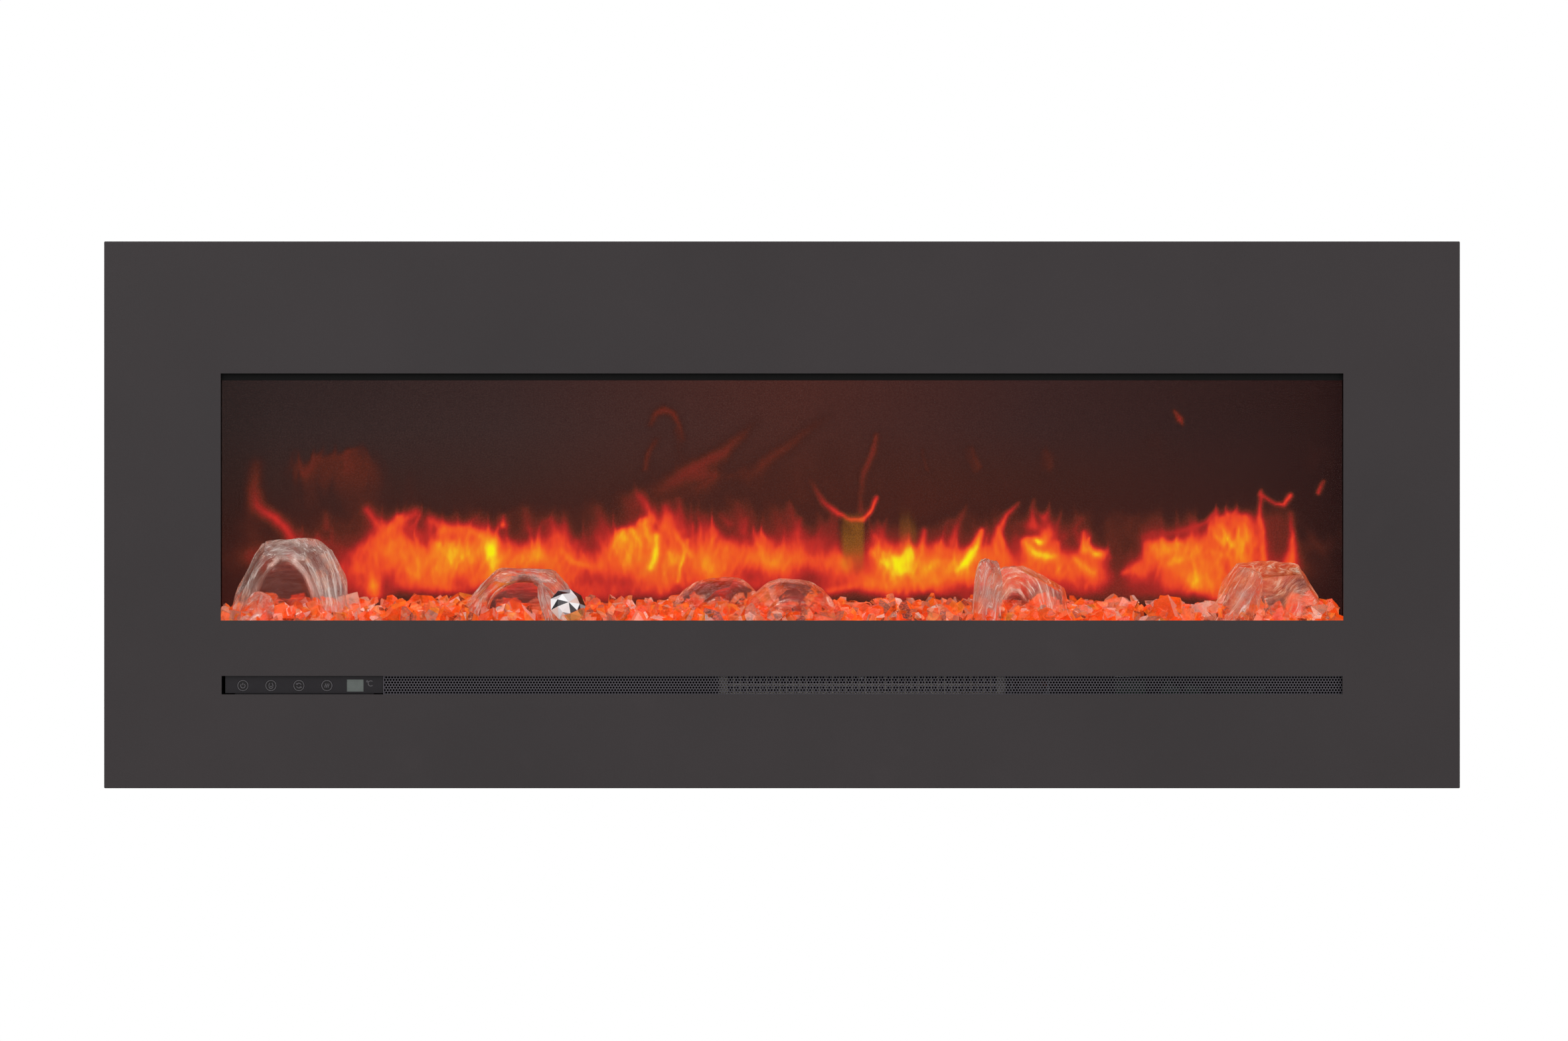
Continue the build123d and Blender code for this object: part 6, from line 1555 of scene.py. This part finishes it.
# Painted reflections on the stone's facets: white and grey painted highlights and near-black painted shade.
GEM_FACET_REFLECTIONS = ((246, 244, 246), (214, 208, 210), (246, 244, 246), (150, 148, 154), (24, 24, 28),
             (236, 228, 228), (44, 40, 46), (224, 190, 180))
BOULDERS = (
    BoulderPlan("boulder_far_left", 69 * MM, -0.108, 120 * MM, 44 * MM, 88 * MM, (-0.10, 0.62, 0.80), 0.10,
                1.0, 0.30, 0.8, 0.62, 0.0, 1.3, 4 * MM,
                (((-0.80, -0.1, 0.62), 0.93), ((0.05, -0.3, 1.0), 0.94), ((1.0, -0.1, 0.65), 1.06),
                 ((0.9, -1.0, 0.7), 1.00), ((-0.6, -1.0, 0.2), 0.94), ((0.1, -1.0, 0.2), 0.90))),
    BoulderPlan("boulder_far_left_toe", 32 * MM, -0.124, 36 * MM, 26 * MM, 34 * MM, (0.0, 0.1, 0.1), 1.0,
                0.75, 0.20, 1.0, 0.8, 0.3, 2.2, 4 * MM,
                (((-0.7, -0.6, 0.5), 0.72), ((0.6, -0.7, 0.6), 0.74), ((0.0, -1.0, -0.1), 0.80))),
    BoulderPlan("boulder_left", 311 * MM, -0.106, 118 * MM, 42 * MM, 58 * MM, (0.02, 0.74, 0.84), 0.12,
                0.95, 0.42, 0.7, 0.64, 0.0, 4.1, 4 * MM,
                (((-0.75, -0.1, 0.68), 0.94), ((0.85, -0.1, 0.6), 1.02), ((0.08, -0.3, 1.0), 0.93),
                 ((0.3, -1.0, 0.3), 0.92))),
    BoulderPlan("boulder_left_splinter", 346 * MM, -0.126, 15 * MM, 12 * MM, 42 * MM, (0.0, 0.1, 0.1), 1.0,
                0.8, 0.15, 0.5, 0.8, -0.35, 5.5, 3 * MM,
                (((0.8, -0.6, 0.3), 0.70), ((-0.8, -0.6, 0.2), 0.74))),
    BoulderPlan("mound_left", 520 * MM, -0.100, 100 * MM, 32 * MM, 49 * MM, (0.0, 0.55, 0.55), 0.62,
                0.50, 1.05, 0.35, 0.86, 0.0, 7.7, 4 * MM,
                (((-0.6, -0.5, 0.8), 0.84), ((0.8, -0.5, 0.7), 0.86), ((0.0, -1.0, 0.3), 0.82),
                 ((-0.2, -0.4, 1.0), 0.90))),
    BoulderPlan("mound_right", 594 * MM, -0.118, 102 * MM, 30 * MM, 47 * MM, (0.0, 0.55, 0.55), 0.62,
                0.50, 1.0, 0.4, 0.86, 0.0, 9.2, 4 * MM,
                (((-0.7, -0.4, 0.8), 0.84), ((0.75, -0.4, 0.66), 0.82), ((0.2, -1.0, 0.2), 0.82))),
    BoulderPlan("block_slab", 799 * MM, -0.118, 30 * MM, 30 * MM, 66 * MM, (0.0, 0.1, 0.1), 1.0,
                0.90, 0.34, 0.9, 0.46, 0.05, 12.4, 3 * MM,
                (((0.3, -0.2, 1.0), 0.98), ((-1.0, -0.4, 0.0), 0.94), ((0.7, -1.0, 0.1), 0.92))),
    BoulderPlan("block_body", 842 * MM, -0.106, 88 * MM, 42 * MM, 60 * MM, (-0.25, 0.42, 0.60), 0.40,
                0.82, 0.55, 0.7, 0.52, 0.0, 13.9, 3 * MM,
                (((0.42, -0.1, 1.0), 0.84), ((1.0, -0.1, 0.3), 0.97), ((-0.5, -1.0, 0.3), 0.88),
                 ((0.6, -1.0, 0.5), 0.92))),
    BoulderPlan("boulder_right", 1094 * MM, -0.104, 108 * MM, 44 * MM, 65 * MM, (0.1, 0.25, 0.3), 0.80,
                0.88, 0.66, 0.35, 0.60, 0.0, 16.8, 4 * MM,
                (((-0.9, -0.1, 0.6), 0.99), ((0.9, -0.1, 0.62), 1.03), ((0.06, -0.3, 1.0), 0.93),
                 ((0.4, -1.0, 0.3), 0.90), ((-0.6, -1.0, 0.2), 0.88))),
    BoulderPlan("boulder_right_shoulder", 1060 * MM, -0.124, 38 * MM, 24 * MM, 60 * MM, (0.0, 0.1, 0.1), 1.0,
                0.84, 0.52, 0.7, 0.60, 0.30, 18.3, 4 * MM,
                (((-0.8, -0.4, 0.6), 0.80), ((0.9, -0.5, 0.4), 0.78), ((0.1, -1.0, 0.0), 0.80))),
)


@dataclass
class ControlStrip:
    """The strip under the window: fascia, ringed keys, display and the perforated outlet grille."""

    pitch: float = 3.08 * MM
    hole: float = 2.3 * MM
    rows: int = 7
    gauge: float = 1.0 * MM
    edge: float = 0.8 * MM
    open_half: float = 8.95 * MM
    line: float = 0.30 * MM
    ring: float = 5.35 * MM

    def build(self, palette: Palette) -> None:
        """Builds the strip.

        Args:
            palette: the finishes.
        """
        palette.dress(["control_fascia", "display_lens", "key_power", "key_flame", "key_ember",
                       "key_heat"])
        self._grille(palette)
        mark = palette.special("printed_mark", PrintedMark())
        for key in KeySymbol:
            self._symbol(palette, mark, key)
        self._degree(palette, mark)

    def _cell(self) -> bpy.types.Mesh:
        """Makes one six-sided cell of the grille with its round hole."""
        bm = bmesh.new()
        outer = bmesh.ops.create_circle(bm, segments=12, radius=self.pitch / math.sqrt(3.0))["verts"]
        bmesh.ops.create_circle(bm, segments=12, radius=self.hole / 2)
        for vert in outer:
            angle = math.atan2(vert.co.y, vert.co.x)
            sixth = round(angle / (math.pi / 3))
            if abs(angle - sixth * math.pi / 3) < 0.01:
                vert.co *= math.cos(math.pi / 6)
        bmesh.ops.bridge_loops(bm, edges=list(bm.edges))
        bmesh.ops.rotate(bm, verts=bm.verts, matrix=Matrix.Rotation(math.pi / 2, 3, "X"))
        data = bpy.data.meshes.new("grille_cell")
        bm.to_mesh(data)
        bm.free()
        return data

    def _grille(self, palette: Palette) -> None:
        """Perforates the outlet grille, row by row, and adds a flat rim round it.

        Args:
            palette: the finishes.
        """
        low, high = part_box("outlet_grille")
        cell = self._cell()
        step_up = self.pitch * math.sqrt(3.0) / 2
        columns = int((high.x - low.x) / self.pitch) + 1
        middle = (low.z + high.z) / 2
        bm = bmesh.new()
        for row in range(self.rows):
            start = low.x + (self.pitch / 2 if row % 2 else 0.0)
            level = middle + (row - self.rows // 2) * step_up
            for column in range(columns):
                placed = cell.copy()
                placed.transform(Matrix.Translation((start + column * self.pitch, low.y, level)))
                bm.from_mesh(placed)
                bpy.data.meshes.remove(placed)
        bpy.data.meshes.remove(cell)
        bmesh.ops.remove_doubles(bm, verts=bm.verts, dist=0.02 * MM)
        for way, reach in (((1.0, 0.0, 0.0), high.x), ((-1.0, 0.0, 0.0), -low.x),
                           ((0.0, 0.0, 1.0), high.z), ((0.0, 0.0, -1.0), -low.z)):
            everything = [*bm.verts, *bm.edges, *bm.faces]
            bmesh.ops.bisect_plane(bm, geom=everything, dist=1e-6, plane_co=Vector(way) * reach,
                                   plane_no=way, clear_outer=True)
        bmesh.ops.recalc_face_normals(bm, faces=bm.faces)
        if sum(face.normal.y for face in bm.faces) > 0:
            bmesh.ops.reverse_faces(bm, faces=bm.faces)
        bmesh.ops.solidify(bm, geom=bm.faces, thickness=self.gauge)
        strip = palette.piece("perforated_strip", bm, "casing", Slot.GRILLE_STEEL)
        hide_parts("outlet_grille")
        rim = self._rim(low, high)
        folded = palette.piece("strip_rim", rim, "casing", Slot.GRILLE_STEEL)
        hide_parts("outlet_grille")

    def _rim(self, low: Vector, high: Vector) -> bmesh.types.BMesh:
        """Makes the thin folded rim round the grille.

        Args:
            low: the grille's lowest corner.
            high: its highest corner.

        Returns:
            The rim's mesh.
        """
        bm = bmesh.new()
        bmesh.ops.create_grid(bm, x_segments=1, y_segments=1, size=0.5)
        bmesh.ops.rotate(bm, verts=bm.verts, matrix=Matrix.Rotation(math.pi / 2, 3, "X"))
        bmesh.ops.scale(bm, verts=bm.verts, vec=(high.x - low.x, 1.0, high.z - low.z))
        proud = Vector((0.0, 0.03 * MM, 0.0))
        centre = Vector(((low.x + high.x) / 2, low.y, (low.z + high.z) / 2)) - proud
        bmesh.ops.translate(bm, verts=bm.verts, vec=centre)
        inner = bmesh.ops.inset_region(bm, faces=bm.faces, thickness=self.edge, use_boundary=True,
                                       use_even_offset=True)
        middle = [face for face in bm.faces if face not in inner["faces"]]
        level = (low.z + high.z) / 2
        for vert in {vert for face in middle for vert in face.verts}:
            vert.co.z = level + math.copysign(self.open_half, vert.co.z - level)
        bmesh.ops.delete(bm, geom=middle, context="FACES")
        bmesh.ops.solidify(bm, geom=bm.faces, thickness=-self.gauge * 1.4)
        bmesh.ops.recalc_face_normals(bm, faces=bm.faces)
        return bm

    def _arc(self, bm: bmesh.types.BMesh, middle: Vector, radius: float, start: float,
             sweep: float) -> None:
        """Adds a flat arc of the drawing line, in the plane of the fascia.

        Args:
            bm: the drawing.
            middle: the arc's centre.
            radius: the radius of its middle line.
            start: where it starts, in degrees from the right.
            sweep: how far it runs, in degrees; 360 makes a ring.
        """
        loop = bmesh.ops.create_grid(bm, x_segments=1, y_segments=1, size=self.line)["verts"]
        bmesh.ops.scale(bm, verts=loop, vec=(1.0, 0.4, 1.0))
        bmesh.ops.translate(bm, verts=loop, vec=(radius, 0.0, 0.0))
        bmesh.ops.rotate(bm, verts=loop, matrix=Matrix.Rotation(-math.radians(start), 3, "Y"))
        bmesh.ops.translate(bm, verts=loop, vec=middle)
        faces = list({face for vert in loop for face in vert.link_faces})
        full = abs(sweep) >= 360.0
        edges = {edge for vert in loop for edge in vert.link_edges}
        bmesh.ops.spin(bm, geom=[*loop, *edges, *faces], cent=middle, axis=(0.0, -1.0, 0.0),
                       angle=math.radians(sweep), steps=max(6, int(abs(sweep) / 9)), use_merge=full)
        if full:
            bmesh.ops.delete(bm, geom=faces, context="FACES_ONLY")

    def _bar(self, bm: bmesh.types.BMesh, start: Vector, end: Vector) -> None:
        """Adds a straight stroke of the drawing line between two points."""
        way = end - start
        bar = bmesh.ops.create_cube(bm, size=1.0)["verts"]
        bmesh.ops.scale(bm, verts=bar, vec=(way.length, 0.8 * self.line, 2 * self.line))
        bmesh.ops.rotate(bm, verts=bar, matrix=Matrix.Rotation(-math.atan2(way.z, way.x), 3, "Y"))
        bmesh.ops.translate(bm, verts=bar, vec=(start + end) / 2)

    def _symbol(self, palette: Palette, mark: bpy.types.Material, key: "KeySymbol") -> None:
        """Prints a key's ring and its plain symbol.

        Args:
            palette: the finishes.
            mark: the ink.
            key: which key.
        """
        low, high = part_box(key.value)
        middle = Vector(((low.x + high.x) / 2, low.y + 0.05 * MM, (low.z + high.z) / 2))
        bm = bmesh.new()
        self._arc(bm, middle, self.ring, 0.0, 360.0)
        for kind, x, z, *numbers in SYMBOLS[key]:
            spot = middle + Vector((x, 0.0, z)) * MM
            if kind == "arc":
                radius, start, sweep = numbers
                self._arc(bm, spot, radius * MM, start, sweep)
            else:
                self._bar(bm, spot, middle + Vector((numbers[0], 0.0, numbers[1])) * MM)
        bmesh.ops.recalc_face_normals(bm, faces=bm.faces)
        palette.piece(f"{key.value}_mark", bm, key.value, Slot.KEY_PLASTIC, mark)

    def _degree(self, palette: Palette, mark: bpy.types.Material) -> None:
        """Prints the degree sign and the letter beside the display."""
        low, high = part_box("display_lens")
        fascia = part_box("control_fascia")[0]
        side = high.x + 5.8 * MM
        level = (low.z + high.z) / 2 + 2.2 * MM
        bm = bmesh.new()
        self._arc(bm, Vector((side - 1.9 * MM, fascia.y, level + 2.2 * MM)), 0.7 * MM, 0.0, 360.0)
        self._arc(bm, Vector((side + 1.8 * MM, fascia.y, level)), 2.7 * MM, 50.0, 260.0)
        bmesh.ops.recalc_face_normals(bm, faces=bm.faces)
        palette.piece("degree_mark", bm, "casing", Slot.FASCIA_PLASTIC, mark)


class KeySymbol(Enum):
    """The four keys, by the frame's names."""

    POWER = "key_power"
    FLAME = "key_flame"
    EMBER = "key_ember"
    HEAT = "key_heat"


SYMBOLS = {
    KeySymbol.POWER: (("arc", 0.0, -0.2, 2.3, 130.0, 280.0), ("bar", 0.0, 0.4, 0.0, 2.9)),
    KeySymbol.FLAME: (("arc", 0.0, -0.9, 2.1, 190.0, 160.0), ("arc", 2.2, -0.2, 4.3, 140.0, 46.0),
                      ("arc", -2.2, -0.2, 4.3, -6.0, 46.0), ("arc", 0.0, -1.6, 0.9, 10.0, 160.0)),
    KeySymbol.EMBER: (("arc", 0.0, 0.0, 2.5, 20.0, 130.0), ("arc", 0.0, 0.0, 2.5, 200.0, 130.0),
                      ("bar", -2.4, 1.0, -2.9, 2.4), ("bar", 2.4, -1.0, 2.9, -2.4),
                      ("bar", -2.2, 1.1, -0.9, 1.6), ("bar", 2.2, -1.1, 0.9, -1.6)),
    KeySymbol.HEAT: tuple(entry for x in (-1.7, 0.0, 1.7) for entry in (
        ("arc", x - 0.9, 1.0, 1.35, -48.0, 96.0), ("arc", x + 0.9, -1.0, 1.35, 132.0, 96.0))),
}


@dataclass
class Shell:
    """The steel round it all: surround, casing, wall bracket, and the glass in its rails."""

    nodes: tuple[str, ...] = (
        "wall_bracket", "casing_hooks", "wall_bumpers", "top_panel", "bottom_panel", "back_panel",
        "side_panel_left", "side_panel_right", "front_frame", "casing_screws", "service_cover",
        "divider_shelf", "front_surround", "surround_hangers", "hanger_studs", "glass_pane",
        "glass_rail_top", "glass_rail_bottom", "glass_seals", "glass_clips", "chamber_liner")

    def build(self, palette: Palette) -> None:
        """Dresses the shell."""
        palette.dress(list(self.nodes))


@dataclass
class Works:
    """The drives, the blower and the electrics behind the screen."""

    nodes: tuple[str, ...] = (
        "flicker_axle", "flicker_vanes", "spindle_bearing", "spindle_coupling", "flicker_motor_shaft",
        "flicker_motor_plate", "flicker_motor", "blower_wheel", "blower_shaft", "motor_rotor", "motor_stack",
        "motor_coil", "motor_bridges", "blower_end_plates", "blower_scroll", "heating_element",
        "outlet_duct", "thermal_cutout", "control_board", "cord_gland", "rocker_housing",
        "rocker_paddle", "power_board", "wire_harness")

    def build(self, palette: Palette) -> None:
        """Dresses the works."""
        palette.dress(list(self.nodes))


def main() -> None:
    """Builds the studio and the fire's sub-assemblies in order."""
    logging.basicConfig(level=logging.INFO, format="%(name)s: %(message)s")
    palette = Palette()
    studio = Studio()
    studio.build(palette)
    Shell().build(palette)
    FlameScreen().build(palette, studio)
    CrystalBed().build(palette)
    ControlStrip().build(palette)
    Works().build(palette)


if __name__ == "__main__":
    main()
